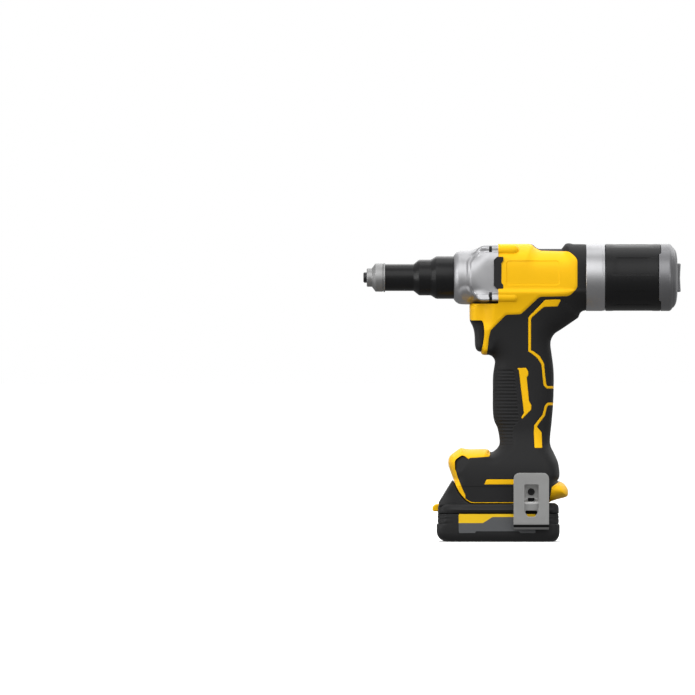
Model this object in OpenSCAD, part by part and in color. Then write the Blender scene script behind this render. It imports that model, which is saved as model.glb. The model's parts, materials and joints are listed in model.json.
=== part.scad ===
// Battery rivet tool.
// +Z is up and the nose points along -X. Z = 0 is the face that the battery pack stands on,
// Y = 0 is the plane where the two housing halves meet, and X = 0 is the plane where the
// gearcase meets the housing.

/* [Body] */
// Height of the pull axis above the face that the tool stands on
axis_h = 250.5; // [244:0.5:258]
// Length of the housing from the gearcase to the collector ring
housing_l = 83.3; // [80:0.1:90]
// Diameter of the housing's barrel and of the collector
barrel_d = 63.6; // [62.6:0.1:67]
// Width of the barrel across its two flat sides
barrel_w = 57; // [55:0.5:60]
// Thickness of the soft overmould
overmould_t = 1.6; // [1.2:0.1:2.2]

/* [Nose] */
// Diameter of the nosepiece's tip
nose_tip_d = 10; // [8:0.1:11]
// Length of the nosepiece's tip in front of the cone
nose_tip_l = 3.2; // [2:0.1:6]
// Bore that the rivet's mandrel goes through
mandrel_bore_d = 4.8; // [3:0.1:5]
// Diameter of the nose cone's rim
nose_cone_d = 27.6; // [27:0.1:30]
// Diameter of the nose cone's front
nose_cone_front_d = 16.8; // [16.6:0.1:20]
// Length of the nose cone
nose_cone_l = 17.4; // [16:0.1:20]
// Diameter of the slim part of the nose sleeve
nose_sleeve_d = 25.5; // [24.5:0.1:26.5]
// Length of the slim part of the nose sleeve
nose_sleeve_l = 28; // [26:0.5:34]
// Diameter of the stepped part of the nose sleeve
nose_step_d = 34; // [32:0.1:36]
// Length of the stepped part of the nose sleeve
nose_step_l = 16.5; // [14:0.5:20]
// Diameter of the collar that holds the sleeve to the gearcase
base_collar_d = 40.5; // [38:0.1:42]
// Length of that collar
base_collar_l = 22; // [18:0.5:24]

/* [Gearcase and drive] */
// Length of the gearcase
gearcase_l = 42; // [40:0.5:48]
// Diameter of the gearcase behind its rounded front
gearcase_d = 52.4; // [50:0.1:54]
// How far the jaws are drawn back
stroke = 30; // [20:1:32]
// Diameter of the draw screw
draw_screw_d = 16; // [15:0.1:16.4]
// Diameter of the ball nut
ball_nut_d = 29; // [27:0.1:29.6]
// Module of the two gears
gear_module = 1; // [0.95:0.01:1.02]
// Diameter of the motor
motor_d = 34; // [30:0.1:34.6]
// Length of the motor's stator
motor_l = 27; // [24:0.5:28]

/* [Collector] */
// Length of the bright ring
ring_l = 18.2; // [16:0.1:22]
// Length of the canister
canister_l = 52.7; // [45:0.1:62]
// Wall of the canister
canister_wall = 2.1; // [1.6:0.1:2.6]
// Length of the end cap without its twist lug
cap_l = 16.3; // [14:0.1:20]
// Height of the twist lug behind the end cap
cap_lug_h = 3.1; // [2:0.1:5]

/* [Trigger] */
// Travel of the trigger
trigger_travel = 6; // [4:0.5:7]
// Width of the trigger
trigger_w = 24; // [20:0.5:26]

/* [Battery pack] */
// Length of the pack
pack_l = 116.6; // [112:0.2:122]
// Width of the pack
pack_w = 73; // [70:0.5:76]
// Height of the pack up to the underside of the foot
pack_h = 36.6; // [35:0.2:39]
// Height of the pack's lower shell
pack_base_h = 26.2; // [25:0.1:27]
// Width of the rail block over its flanges
rail_w = 53; // [50:0.5:54]
// Travel of the release button
button_travel = 3.5; // [2:0.1:3.8]

/* [Belt hook] */
// Width of the belt hook
hook_w = 33.5; // [30:0.5:36]
// Thickness of the hook's steel sheet
hook_t = 1.8; // [1.4:0.1:2.2]
// Clear gap that a belt goes into
hook_gap = 6.8; // [5.5:0.1:9]

/* [Hidden] */
$fn = 72;

// Colours as on the object
yellow = [0.98, 0.74, 0.06];
black = [0.13, 0.13, 0.14];
steel = [0.72, 0.73, 0.74];
dark_steel = [0.25, 0.25, 0.27];
brass = [0.78, 0.62, 0.3];
copper = [0.72, 0.42, 0.25];
board_green = [0.1, 0.35, 0.2];
grey = [0.45, 0.46, 0.47];

// Clearances and the overrun of cuts
overrun = 1;
pocket_gap = 0.3;
run_gap = 0.06;
slide_gap = 0.35;

// Radii that several pieces share
barrel_r = barrel_d / 2;
barrel_half_w = barrel_w / 2;
gearcase_r = gearcase_d / 2;
draw_screw_r = draw_screw_d / 2;
ball_nut_r = ball_nut_d / 2;

// Shape of the body: shares of the housing's length along X, of the height between the pack
// and the pull axis along Z, and of the barrel's half width along Y
body_h = axis_h - pack_h;
function body_x(share) = share * housing_l;
function body_z(share) = pack_h + share * body_h;
function body_points(shares) = [for (p = shares) [body_x(p[0]), body_z(p[1])]];

// Each row: level, front, back, half width, then the squareness of the section
body_shares = [
    [1.035, 0.012, 0.985, 0.84, 3.2], [0.951, 0.012, 0.99, 0.91, 3.2],
    [0.885, 0.0, 0.99, 0.86, 3.2], [0.853, -0.05, 0.966, 0.83, 3.2],
    [0.825, -0.12, 0.918, 0.81, 3.2], [0.792, -0.156, 0.816, 0.79, 3.0],
    [0.755, -0.163, 0.672, 0.77, 3.0], [0.717, -0.17, 0.605, 0.75, 2.8],
    [0.675, -0.18, 0.606, 0.73, 2.8], [0.657, -0.175, 0.611, 0.723, 2.8],
    [0.647, -0.078, 0.615, 0.716, 2.8], [0.624, -0.038, 0.622, 0.702, 2.7],
    [0.577, -0.054, 0.633, 0.688, 2.6], [0.493, -0.059, 0.634, 0.68, 2.6],
    [0.399, -0.061, 0.622, 0.674, 2.6], [0.362, -0.046, 0.613, 0.674, 2.6],
    [0.324, 0.002, 0.604, 0.68, 2.6], [0.273, 0.02, 0.591, 0.709, 2.7],
    [0.245, 0.0, 0.6, 0.79, 2.8], [0.222, -0.084, 0.634, 0.93, 3.0],
    [0.194, -0.168, 0.666, 1.02, 3.4], [0.156, -0.216, 0.684, 1.03, 3.6]];
foot_shares = [
    [0.0, -0.288, 0.606, 1.09, 5.0], [0.009, -0.346, 0.618, 1.155, 5.0],
    [0.025, -0.394, 0.624, 1.172, 5.0], [0.053, -0.447, 0.636, 1.172, 5.0],
    [0.091, -0.499, 0.684, 1.165, 5.0], [0.109, -0.514, 0.701, 1.158, 5.0],
    [0.142, -0.538, 0.701, 1.137, 4.6], [0.175, -0.562, 0.687, 1.088, 4.2],
    [0.198, -0.557, 0.665, 1.018, 3.8], [0.217, -0.51, 0.639, 0.912, 3.4],
    [0.231, -0.444, 0.6, 0.772, 3.0], [0.24, -0.396, 0.54, 0.56, 2.6]];
chin_shares = [
    [0.945, -0.327, 0.24, 0.6, 3.6], [0.829, -0.327, 0.24, 0.6, 3.6],
    [0.819, -0.322, 0.24, 0.57, 3.4], [0.812, -0.31, 0.24, 0.52, 3.2]];

// Outlines of the yellow that shows, seen from the side: along X and up Z
panel_shares = [[-0.36, 0.62], [-0.16, 0.656], [-0.127, 0.657], [-0.097, 0.758], [0.089, 0.834],
    [0.257, 0.836], [0.469, 0.913], [0.81, 0.917], [0.872, 0.93], [0.901, 0.96], [0.901, 1.072],
    [0.876, 1.101], [0.81, 1.114], [0.479, 1.114], [0.452, 1.118], [0.42, 1.13], [0.39, 1.146],
    [0.365, 1.17], [-0.36, 1.17]];
upper_line_shares = [[0.534, 0.901], [0.718, 0.902], [0.673, 0.871], [0.52, 0.869], [0.373, 0.819],
    [0.373, 0.675], [0.468, 0.651], [0.522, 0.619], [0.536, 0.561], [0.547, 0.527], [0.559, 0.518],
    [0.7, 0.518], [0.7, 0.507], [0.552, 0.507], [0.518, 0.521], [0.505, 0.56], [0.493, 0.613],
    [0.445, 0.643], [0.342, 0.671], [0.342, 0.823]];
lower_line_shares = [[0.7, 0.444], [0.561, 0.444], [0.531, 0.431], [0.506, 0.391], [0.461, 0.37],
    [0.409, 0.344], [0.405, 0.312], [0.413, 0.244], [0.502, 0.244], [0.496, 0.312], [0.44, 0.338],
    [0.486, 0.363], [0.534, 0.387], [0.557, 0.425], [0.573, 0.433], [0.7, 0.433]];
tag_shares = [[0.211, 0.597], [0.316, 0.599], [0.342, 0.584], [0.342, 0.566], [0.325, 0.557],
    [0.351, 0.452], [0.376, 0.434], [0.376, 0.414], [0.269, 0.371], [0.293, 0.398], [0.235, 0.588]];
foot_line_shares = [[-0.133, 0.105], [0.205, 0.105], [0.205, 0.082], [-0.162, 0.082]];
foot_trim_shares = [[-0.417, 0.26], [-0.13, 0.26], [-0.098, 0.223], [-0.127, 0.205], [-0.316, 0.2],
    [-0.342, 0.196], [-0.409, 0.213], [-0.49, 0.188], [-0.487, 0.151], [-0.461, 0.104],
    [-0.397, 0.056], [-0.374, 0.039], [-0.385, 0.02], [-0.6, 0.021], [-0.6, 0.26]];
rear_bumper_shares = [[0.56, 0.072], [0.614, 0.072], [0.698, 0.094], [0.757, 0.082], [0.794, 0.061],
    [0.799, 0.039], [0.781, 0.026], [0.673, 0.015], [0.56, 0.006]];
rear_bumper_half_w = 19;
section_sides = 12;
rows_between = 2;

// Stations along the pull axis
gearcase_front_x = -gearcase_l;
base_front_x = gearcase_front_x - base_collar_l;
step_front_x = base_front_x - nose_step_l;
sleeve_front_x = step_front_x - nose_sleeve_l;
cone_lap = 1.2;
cone_rear_x = sleeve_front_x + cone_lap;
cone_front_x = cone_rear_x - nose_cone_l;
tip_front_x = cone_front_x - nose_tip_l;
ring_rear_x = housing_l + ring_l;
cap_joint_x = ring_rear_x + canister_l;
cap_rear_x = cap_joint_x + cap_l;

// Places a turned piece on the pull axis, with its own Z along the tool's X
module on_axis(x) {
    translate([x, 0, axis_h]) rotate([0, 90, 0]) children();
}

// A solid turned from points given as radius and station along X
module turned(points) {
    on_axis(0) rotate_extrude() polygon(points);
}

// A plain tube on the pull axis
module tube_x(x0, x1, outer_r, inner_r) {
    turned([[inner_r, x0], [outer_r, x0], [outer_r, x1], [inner_r, x1]]);
}

// A rod along X at any place across the tool
module rod_x(x0, x1, r, y, z) {
    translate([x0, y, z]) rotate([0, 90, 0]) cylinder(h = x1 - x0, r = r);
}

// A rod along Y
module rod_y(y0, y1, r, x, z) {
    translate([x, y1, z]) rotate([90, 0, 0]) cylinder(h = y1 - y0, r = r);
}

// A block between two corners
module block(low, high) {
    translate(low) cube(high - low);
}

// A side outline drawn along X and Z, given a width from y0 to y1
module side_prism(y0, y1) {
    translate([0, y1, 0]) rotate([90, 0, 0]) linear_extrude(y1 - y0) children();
}

// A rectangle with round corners, centred
module rounded_rect(l, w, r) {
    translate([-l / 2 + r, -w / 2]) square([l - 2 * r, w]);
    translate([-l / 2, -w / 2 + r]) square([l, w - 2 * r]);
    for (x = [-1, 1], y = [-1, 1])
        translate([x * (l / 2 - r), y * (w / 2 - r)]) circle(r);
}

module mirrored_pair() {
    children();
    mirror([0, 1, 0]) children();
}

// Body form: half sections stacked into one closed solid on the +Y side
function smooth_row(rows, i, t) =
    let (last = len(rows) - 1)
    let (a = rows[max(i - 1, 0)], b = rows[i], c = rows[min(i + 1, last)], d = rows[min(i + 2, last)])
    b + 0.5 * t * ((c - a) + t * ((2 * a - 5 * b + 4 * c - d) + t * (3 * b - 3 * c + d - a)));
function dense_rows(rows) = concat(
    [for (i = [0 : len(rows) - 2], k = [0 : rows_between - 1]) smooth_row(rows, i, k / rows_between)],
    [rows[len(rows) - 1]]);
function half_section(row, inset) =
    let (front = body_x(row[1]) + inset, back = body_x(row[2]) - inset)
    let (w = row[3] * barrel_half_w - inset, power = 2 / row[4])
    [for (k = [0 : section_sides])
        let (angle = 180 * k / section_sides, c = cos(angle), s = max(sin(angle), 0))
        [(front + back) / 2 - (back - front) / 2 * sign(c) * pow(abs(c), power),
            k == 0 || k == section_sides ? 0 : w * pow(s, power), body_z(row[0])]];
module half_loft(rows, inset) {
    sections = [for (row = rows) half_section(row, inset)];
    count = section_sides + 1;
    last = (len(sections) - 1) * count;
    points = [for (section = sections) for (p = section) p];
    walls = [for (j = [0 : len(sections) - 2], k = [0 : count - 1])
        let (a = j * count + k, b = j * count + (k + 1) % count)
        each [[a, b, b + count], [a, b + count, a + count]]];
    low_cap = [for (k = [1 : count - 2]) [0, k + 1, k]];
    high_cap = [for (k = [1 : count - 2]) [last, last + k, last + k + 1]];
    polyhedron(points, concat(walls, low_cap, high_cap));
}
function rising(rows) = [for (i = [len(rows) - 1 : -1 : 0]) rows[i]];

// The recess on top of the barrel, behind the front panel
recess_front_x = 30.4;
recess_rear_x = 63;
recess_depth = 4.8;
recess_round_r = 7;
top_rib_r = 4.4;
top_rib_x = 66.5;
module top_recess(raise) {
    floor_z = axis_h + barrel_r - recess_depth - raise;
    difference() {
        block([recess_front_x - raise, -barrel_r, floor_z],
            [recess_rear_x + raise, barrel_r, floor_z + barrel_r]);
        rod_y(-barrel_d, barrel_d, recess_round_r, recess_front_x - raise, floor_z);
    }
}

// Half of the outer form, drawn in by an inset
module barrel_half(inset) {
    difference() {
        intersection() {
            tube_x(0, housing_l, barrel_r - inset, 0);
            block([-overrun, 0, 0], [housing_l + overrun, barrel_half_w - inset, axis_h + barrel_d]);
        }
        top_recess(inset);
    }
}
module chin_half() {
    difference() {
        half_loft(rising(chin_shares), 0);
        tube_x(gearcase_front_x, 0, gearcase_r + slide_gap, 0);
        gearcase_flare(slide_gap);
        block([-gearcase_l, -overrun, axis_h - gearcase_r / 2], [0, barrel_w, axis_h]);
    }
}
module form_half(inset) {
    barrel_half(inset);
    half_loft(rising(dense_rows(body_shares)), inset);
    half_loft(dense_rows(foot_shares), inset);
}

// Yellow that shows, as prisms across the tool
module yellow_zones() {
    side_prism(-overrun, barrel_w) {
        polygon(body_points(panel_shares));
        polygon(body_points(upper_line_shares));
        polygon(body_points(lower_line_shares));
        polygon(body_points(tag_shares));
        polygon(body_points(foot_line_shares));
        polygon(body_points(foot_trim_shares));
    }
}

// Drive line: the mandrel's way, the jaws and the draw screw
nose_bore_r = 10.2;
jaw_case_r = nose_bore_r - slide_gap;
spigot_r = 11.4;
spigot_l = 6;
collar_spigot_r = 15;
step_bevel = 5;
cone_rim_l = 8.2;
cone_front_rim_l = 4;
edge_break = 0.6;
nosepiece_thread_r = 7.4;
nosepiece_thread_l = 11;
nosepiece_nose_r = 3.9;
jaw_mouth_r = 4.5;
jaw_seat_r = 8;
jaw_case_l = 36;
jaw_case_mouth = 2.4;
jaw_l = 12.2;
jaw_slit = 0.6;
jaw_clear_share = 0.55;
jaw_clear_r = jaw_clear_share * mandrel_bore_d;
case_front_x = sleeve_front_x + jaw_case_mouth;
case_rear_x = case_front_x + jaw_case_l;
jaw_lead = 1.8;
jaw_front_x = case_front_x + jaw_lead;
jaw_rear_x = jaw_front_x + jaw_l;
screw_socket_l = 10;
screw_front_x = case_rear_x - screw_socket_l;
pusher_l = 4;
pusher_r = 6.5;
pusher_rear_x = jaw_rear_x + pocket_gap + pusher_l;
tube_r = 3.2;
tube_wall = 0.45;
tube_gap = 0.25;
tube_lead = 6.4;
screw_bore_r = tube_r + tube_gap;
screw_tail_x = 34;

// Nut, bearings and gears
nut_teeth = 48;
pinion_teeth = 12;
pressure_angle = 25;
addendum_share = 0.8;
dedendum_share = 1.08;
backlash_share = 0.12;
gear_centre = gear_module * (nut_teeth + pinion_teeth) / 2;
motor_z = axis_h - gear_centre;
gear_x = 1.2;
gear_l = 10;
gear_tip_gap = 2;
gear_rear_x = gear_x + gear_l;
thrust_l = 6;
thrust_x = -29.3;
thrust_r = 14.2;
nut_front_x = thrust_x + thrust_l + pocket_gap;
nut_shoulder_x = gear_rear_x + pocket_gap;
nut_journal_r = 11;
nut_bearing_l = 6.6;
nut_bearing_r = 16;
nut_rear_x = nut_shoulder_x + nut_bearing_l;
key_gap = 3.2;
key_x = nut_rear_x + key_gap;
key_l = 8;
key_r = 10.4;
key_w = 8;
key_h = 16;
passage_r = key_r + slide_gap;
passage_end_x = screw_tail_x + stroke + slide_gap;

// Motor, on its own axis under the pull axis
motor_r = motor_d / 2;
motor_gap = 3;
motor_x = nut_rear_x + motor_gap;
motor_rear_x = motor_x + motor_l;
shaft_r = 2.5;
shaft_gap = 1;
joint_lap = 1;
rotor_share = 0.56;
rotor_r = motor_r * rotor_share;
air_gap = 0.5;
stator_bore_r = rotor_r + air_gap;
rotor_end_gap = 2;
fan_gap = 1.4;
fan_l = 5;
fan_rim_gap = 2;
fan_r = motor_r - fan_rim_gap;
fan_hub_r = 5;
fan_blades = 9;
fan_blade_t = 1.2;
bearing_r = 6.5;
bearing_l = 5;
bearing_gap = 1;
front_bearing_x = gear_rear_x + bearing_gap;
rear_bearing_x = motor_rear_x + fan_gap + fan_l + bearing_gap;
shaft_end_x = rear_bearing_x + bearing_l;

// Collector
collector_spigot_l = 10.5;
collector_spigot_gap = 0.6;
collector_bore_r = barrel_r - canister_wall;
collector_spigot_r = collector_bore_r - collector_spigot_gap;
seal_r = 1.3;
seal_x = ring_rear_x + collector_spigot_l / 2;
seal_centre_r = collector_bore_r - run_gap - seal_r;
ring_spigot_r = 26;
ring_spigot_l = 8.5;
ring_web = 5;
ring_wall = 3.5;
canister_gap = slide_gap;
pad_depth = 0.5;
pad_count = 6;
pad_margin = 8;
pad_half_angle = 16;
pad_turn = 10;
cap_spigot_l = 5;
cap_wall = 2.4;
cap_round_l = 8.8;
cap_round_r = 12;
cap_tab_l = 2;
cap_round_shares = [[0, 0], [0.5, 0.13], [0.87, 0.5], [1, 1]];
cap_tab_angles = [90, 270];
cap_tab_half_angle = 45;
cap_tab_play = 1;
lug_half_l = 14;
lug_root_half_l = 17;
lug_t = 9;
lug_root_l = 3;
lug_waist_share = 0.8;

// Trigger and switch
trigger_front_x = -27;
trigger_rear_x = -3.5;
trigger_low_z = body_z(0.669);
trigger_high_z = body_z(0.812);
trigger_shares = [[0, 1], [0.42, 1], [1, 0.98], [1, 0.04], [0.5, 0], [0.34, 0.03], [0.23, 0.13],
    [0.17, 0.3], [0.12, 0.5], [0.05, 0.72], [0, 0.88]];
switch_gap = 1;
switch_x = trigger_rear_x + trigger_travel + switch_gap;
switch_l = 20;
switch_half_w = 10;
switch_low_z = body_z(0.664);
switch_high_z = body_z(0.762);

// Foot: the channel for the pack's rail block and what sits above it
rail_half_w = rail_w / 2;
rail_flange_w = 5;
neck_half_w = rail_half_w - rail_flange_w;
lip_h = 5.4;
channel_h = 15.9;
channel_front_x = body_x(-0.75);
channel_rear_x = body_x(0.49);
lip_front_x = body_x(-0.36);
channel_z = pack_h + channel_h;
tongue_half_w = 8;
tongue_l = 10;
tongue_x = body_x(-0.41);
tongue_proud = 2.9;
tongue_low_z = pack_h + lip_h + slide_gap;
module_x0 = body_x(-0.3);
module_x1 = body_x(0.44);
module_half_w = 24;
module_floor = 5;
module_z = channel_z + module_floor;
module_h = 11;
wire_x0 = body_x(0.12);
wire_x1 = body_x(0.42);
wire_half_w = 9;
led_half_w = 8;
led_z = body_z(0.176);
led_half_h = 3.6;
led_l = 6;
led_front_x = body_x(-0.566);
blade_count = 4;
blade_pitch = 9;
blade_t = 0.8;
blade_l = 12;
blade_h = 7;
terminal_l = 12;
terminal_half_w = 19;
terminal_x = channel_rear_x - terminal_l;
terminal_z = pack_h + lip_h;

// Belt hook, its screw and the threaded inserts
hook_x = body_x(0.373);
hook_pad_z = body_z(0.05);
foot_width_share = 1.172;
foot_half_w = foot_width_share * barrel_half_w;
boss_r = 7;
boss_proud = 0.4;
boss_y = foot_half_w + boss_proud;
insert_r = 3;
insert_l = 5.6;
thread_r = 1.65;
hook_screw_r = 1.6;
hook_head_r = 3.3;
hook_head_l = 2.2;
hook_pad_w = 22;
hook_pad_r = 7;
hook_pad_y = boss_y;
hook_side_gap = 1.2;
hook_inner_y = pack_w / 2 + hook_side_gap;
hook_bend_r = hook_gap / 2;
hook_bend_y = hook_inner_y + hook_t + hook_bend_r;
hook_bend_z = 16.7;
hook_outer_y = hook_bend_y + hook_bend_r;
hook_top_z = body_z(0.134);
hook_corner_r = 6;
hook_jog_low_z = pack_h + slide_gap;
hook_jog_z = hook_jog_low_z + hook_side_gap + hook_t;
window_w = 13.4;
window_low_w = 7.4;
window_low_z = 23.6;
window_chamfer_h = 5;
window_high_z = 54.2;

// Battery pack
pack_half_l = pack_l / 2;
pack_half_w = pack_w / 2;
pack_corner_r = 11;
pack_foot_inset = 4.5;
pack_foot_h = 7;
pack_wall = 3;
pack_seam = 0.4;
pack_groove = 0.8;
pack_groove_low_z = 12.2;
pack_groove_h = 1.2;
cover_low_z = pack_base_h + pack_seam;
cover_high_z = pack_h - slide_gap;
rail_front_x = body_x(-0.42);
rail_rear_x = terminal_x - slide_gap;
rail_high_z = channel_z - slide_gap;
cell_count = 5;
cell_gap = 0.2;
cells_headroom = 3;
cells_high_z = pack_base_h - cells_headroom;
board_t = 1.6;
board_margin = 6;
pack_screw_r = 1.5;
pack_screw_head_r = 3;
pack_screw_head_l = 2.4;
pack_screw_inset = 9;
pack_screw_sink = 1;
pack_screw_x = pack_half_l - pack_screw_inset;
pack_screw_y = pack_half_w - pack_screw_inset;
cell_half_l = pack_screw_x - pack_screw_head_r - 2 * pocket_gap;
cell_half_w = pack_half_w - 2 * pack_wall;
label_t = 0.5;
label_x0 = -37;
label_x1 = 35;
label_low_z = 9.8;
label_high_z = 25.6;
label_tab_l = 15.6;
label_tab_h = 1.9;
button_proud = 4;
button_l = 9;
button_half_w = 11;
button_chamfer = 1;
button_slope = 2;
button_low_z = 28.4;
button_high_z = 35.4;
tower_high_z = body_z(0.101);
tower_half_w = 30;
tower_gap = 0.8;
tower_top_l = 1;

// Screws in the housing halves: place along X and Z, then the head's seat across the tool
screw_place_shares = [[-0.22, 0.845, 0.42], [0.86, 0.9, 0.55], [0.53, 0.56, 0.48], [0.03, 0.44, 0.48],
    [0.53, 0.34, 0.48], [-0.43, 0.15, 0.92], [0.58, 0.14, 0.92]];
screw_r = 1.9;
screw_head_r = 3.6;
screw_head_l = 2.6;
screw_l = 24;
screw_tip_gap = 0.5;

// The four screws that hold the gearcase, and the bosses behind them
case_screw_shares = [[0.6, 0.815], [0.815, -0.59]];
case_screw_r = 2;
case_head_r = 3.7;
case_head_l = 3.2;
case_screw_l = 16;
lug_r = 5;
lug_l = 6;
lug_slot_l = 3.6;
boss_l = 19;
function case_places() = [for (s = case_screw_shares) [s[0] * barrel_r, axis_h + s[1] * barrel_r]];

// Recess for the side plate, and the dark inserts at the joint
plate_x0 = 8;
plate_x1 = 57;
plate_drop = 6.4;
plate_rise = 14.2;
plate_low_z = axis_h - plate_drop;
plate_high_z = axis_h + plate_rise;
plate_depth = 0.6;
vent_x0 = -4.2;
vent_bar_x = 2.9;
vent_x1 = 4.8;
vent_drop = 11;
vent_rise = 19.6;
vent_low_z = axis_h - vent_drop;
vent_high_z = axis_h + vent_rise;
vent_t = 3.4;
vent_lip_h = 4.8;
vent_chamfer = 2.8;
vent_proud = 0.5;
vent_y = barrel_half_w - vent_t + vent_proud;

// Tip that the rivet's mandrel goes into, screwed into the cone
module nosepiece() {
    r = mandrel_bore_d / 2;
    rear = jaw_front_x - pocket_gap;
    thread_end = cone_front_x + nosepiece_thread_l;
    color(steel) turned([[r, tip_front_x], [nose_tip_d / 2 - edge_break, tip_front_x],
        [nose_tip_d / 2, tip_front_x + edge_break], [nose_tip_d / 2, cone_front_x],
        [nosepiece_thread_r, cone_front_x], [nosepiece_thread_r, thread_end],
        [nosepiece_nose_r, thread_end + nosepiece_nose_r / 2], [nosepiece_nose_r, rear], [r, rear]]);
}

module nose_cone() {
    bore = nosepiece_thread_r + run_gap;
    lap = spigot_r + run_gap;
    step = sleeve_front_x - spigot_l - pocket_gap;
    rim = nose_cone_d / 2;
    front = nose_cone_front_d / 2;
    color(steel) turned([[bore, cone_front_x], [front - edge_break, cone_front_x],
        [front, cone_front_x + edge_break], [front, cone_front_x + cone_front_rim_l],
        [rim, cone_rear_x - cone_rim_l], [rim, cone_rear_x - edge_break],
        [rim - edge_break, cone_rear_x], [nose_sleeve_d / 2 + run_gap, cone_rear_x],
        [nose_sleeve_d / 2 + run_gap, sleeve_front_x], [lap, sleeve_front_x], [lap, step], [bore, step]]);
}

module nose_sleeve() {
    slim = nose_sleeve_d / 2;
    step = nose_step_d / 2;
    front = sleeve_front_x - spigot_l;
    color(black) turned([[nose_bore_r, front], [spigot_r, front], [spigot_r, sleeve_front_x],
        [slim, sleeve_front_x], [slim, step_front_x], [step - edge_break, step_front_x + step_bevel],
        [step, step_front_x + step_bevel + edge_break], [step, base_front_x],
        [collar_spigot_r, base_front_x], [collar_spigot_r, gearcase_front_x],
        [nose_bore_r, gearcase_front_x]]);
}

module base_collar() {
    rim = base_collar_d / 2;
    bore = collar_spigot_r + run_gap;
    color(black) turned([[bore, base_front_x], [nose_step_d / 2 + edge_break / 2, base_front_x],
        [rim - edge_break, base_front_x + step_bevel], [rim, base_front_x + step_bevel + edge_break],
        [rim, gearcase_front_x], [bore, gearcase_front_x]]);
}

// Die casting: a round body that flares at the rear to the flange with its four screw lugs
gearcase_round = 7;
gearcase_corner = 1.2;
flare_front_x = -25.6;
flare_rear_x = -8.6;
module gearcase_flare(gap) {
    root_x = flare_front_x - gearcase_round - gap;
    rim_r = barrel_r - edge_break + gap;
    side_y = barrel_half_w + edge_break + gap;
    intersection() {
        turned([[0, root_x], [gearcase_r - edge_break + gap, root_x],
            [gearcase_r + edge_break + gap, flare_front_x], [rim_r, flare_rear_x], [rim_r, 0], [0, 0]]);
        block([root_x, -side_y, axis_h - gearcase_r - gap], [0, side_y, axis_h + barrel_d]);
    }
}
module gearcase() {
    front_r = base_collar_d / 2 + edge_break;
    color(steel) difference() {
        union() {
            turned([[0, gearcase_front_x], [front_r, gearcase_front_x],
                [gearcase_r - gearcase_corner, gearcase_front_x + gearcase_round / 2],
                [gearcase_r, gearcase_front_x + gearcase_round], [gearcase_r, 0], [0, 0]]);
            gearcase_flare(0);
        }
        tube_x(gearcase_front_x - overrun, thrust_x + overrun, nose_bore_r + run_gap, 0);
        tube_x(thrust_x, overrun, ball_nut_r + slide_gap, 0);
        mirrored_pair() {
            for (p = case_places()) {
                rod_x(-lug_l - lug_slot_l, -lug_l, lug_r, p[0], p[1]);
                rod_x(-lug_l - overrun, overrun, case_screw_r + pocket_gap, p[0], p[1]);
            }
            vent_block(pocket_gap);
        }
    }
}

module gearcase_screws() {
    color(dark_steel) mirrored_pair() for (p = case_places()) {
        rod_x(-lug_l, case_screw_l, case_screw_r, p[0], p[1]);
        difference() {
            rod_x(-lug_l - case_head_l, -lug_l, case_head_r, p[0], p[1]);
            translate([-lug_l - case_head_l, p[0], p[1]]) rotate([0, 90, 0])
                cylinder(h = case_head_l, r = case_screw_r / 2, center = true, $fn = 6);
        }
    }
}

// Three jaws cut from one cone
module jaws() {
    color(steel) difference() {
        turned([[jaw_clear_r, jaw_front_x], [jaw_mouth_r + pocket_gap, jaw_front_x],
            [jaw_seat_r - pocket_gap, jaw_rear_x], [jaw_clear_r, jaw_rear_x]]);
        for (k = [0 : 2]) on_axis(0) rotate(120 * k)
            translate([0, -jaw_slit / 2, jaw_front_x - overrun])
                cube([jaw_case_r, jaw_slit, jaw_l + 2 * overrun]);
    }
}

module jaw_case() {
    bore = pusher_r + pocket_gap;
    socket = draw_screw_r + run_gap;
    color(steel) turned([[jaw_mouth_r, case_front_x], [jaw_case_r - edge_break, case_front_x],
        [jaw_case_r, case_front_x + edge_break], [jaw_case_r, case_rear_x], [socket, case_rear_x],
        [socket, screw_front_x], [bore, screw_front_x], [bore, jaw_rear_x + pocket_gap],
        [jaw_seat_r, jaw_rear_x + pocket_gap], [jaw_mouth_r + edge_break, jaw_front_x]]);
}

module jaw_pusher() {
    color(dark_steel) tube_x(jaw_rear_x + pocket_gap / 2, pusher_rear_x, pusher_r, jaw_clear_r + tube_wall);
}

// Helical spring between the pusher and the draw screw
spring_wire_r = 0.5;
spring_turns = 3;
spring_rings = 24;
spring_sides = 6;
spring_l = screw_front_x - pusher_rear_x - 2 * spring_wire_r - pocket_gap;
spring_r = pusher_r - spring_wire_r - pocket_gap;
function spring_point(k) =
    let (angle = 360 * k / spring_rings)
    [spring_r * cos(angle), spring_r * sin(angle), spring_l * k / (spring_rings * spring_turns)];
spring_pitch_gap = spring_l / spring_turns - 2 * spring_wire_r;
echo(str("least gap between the spring's turns ", spring_pitch_gap));
module jaw_spring() {
    steps = spring_rings * spring_turns;
    points = [for (k = [0 : steps], s = [0 : spring_sides - 1])
        let (p = spring_point(k), around = 360 * s / spring_sides, turn = 360 * k / spring_rings)
        let (out = spring_wire_r * cos(around), up = spring_wire_r * sin(around))
        [p[0] + out * cos(turn), p[1] + out * sin(turn), p[2] + up]];
    walls = [for (k = [0 : steps - 1], s = [0 : spring_sides - 1])
        let (a = k * spring_sides + s, b = k * spring_sides + (s + 1) % spring_sides)
        each [[a, b, b + spring_sides], [a, b + spring_sides, a + spring_sides]]];
    last = steps * spring_sides;
    ends = [for (s = [1 : spring_sides - 2])
        each [[0, s + 1, s], [last, last + s, last + s + 1]]];
    color(steel) on_axis(pusher_rear_x + spring_wire_r + pocket_gap / 2)
        polyhedron(points, concat(walls, ends));
}

module draw_screw() {
    color(steel) tube_x(screw_front_x + run_gap, screw_tail_x, draw_screw_r, screw_bore_r);
}

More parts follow.
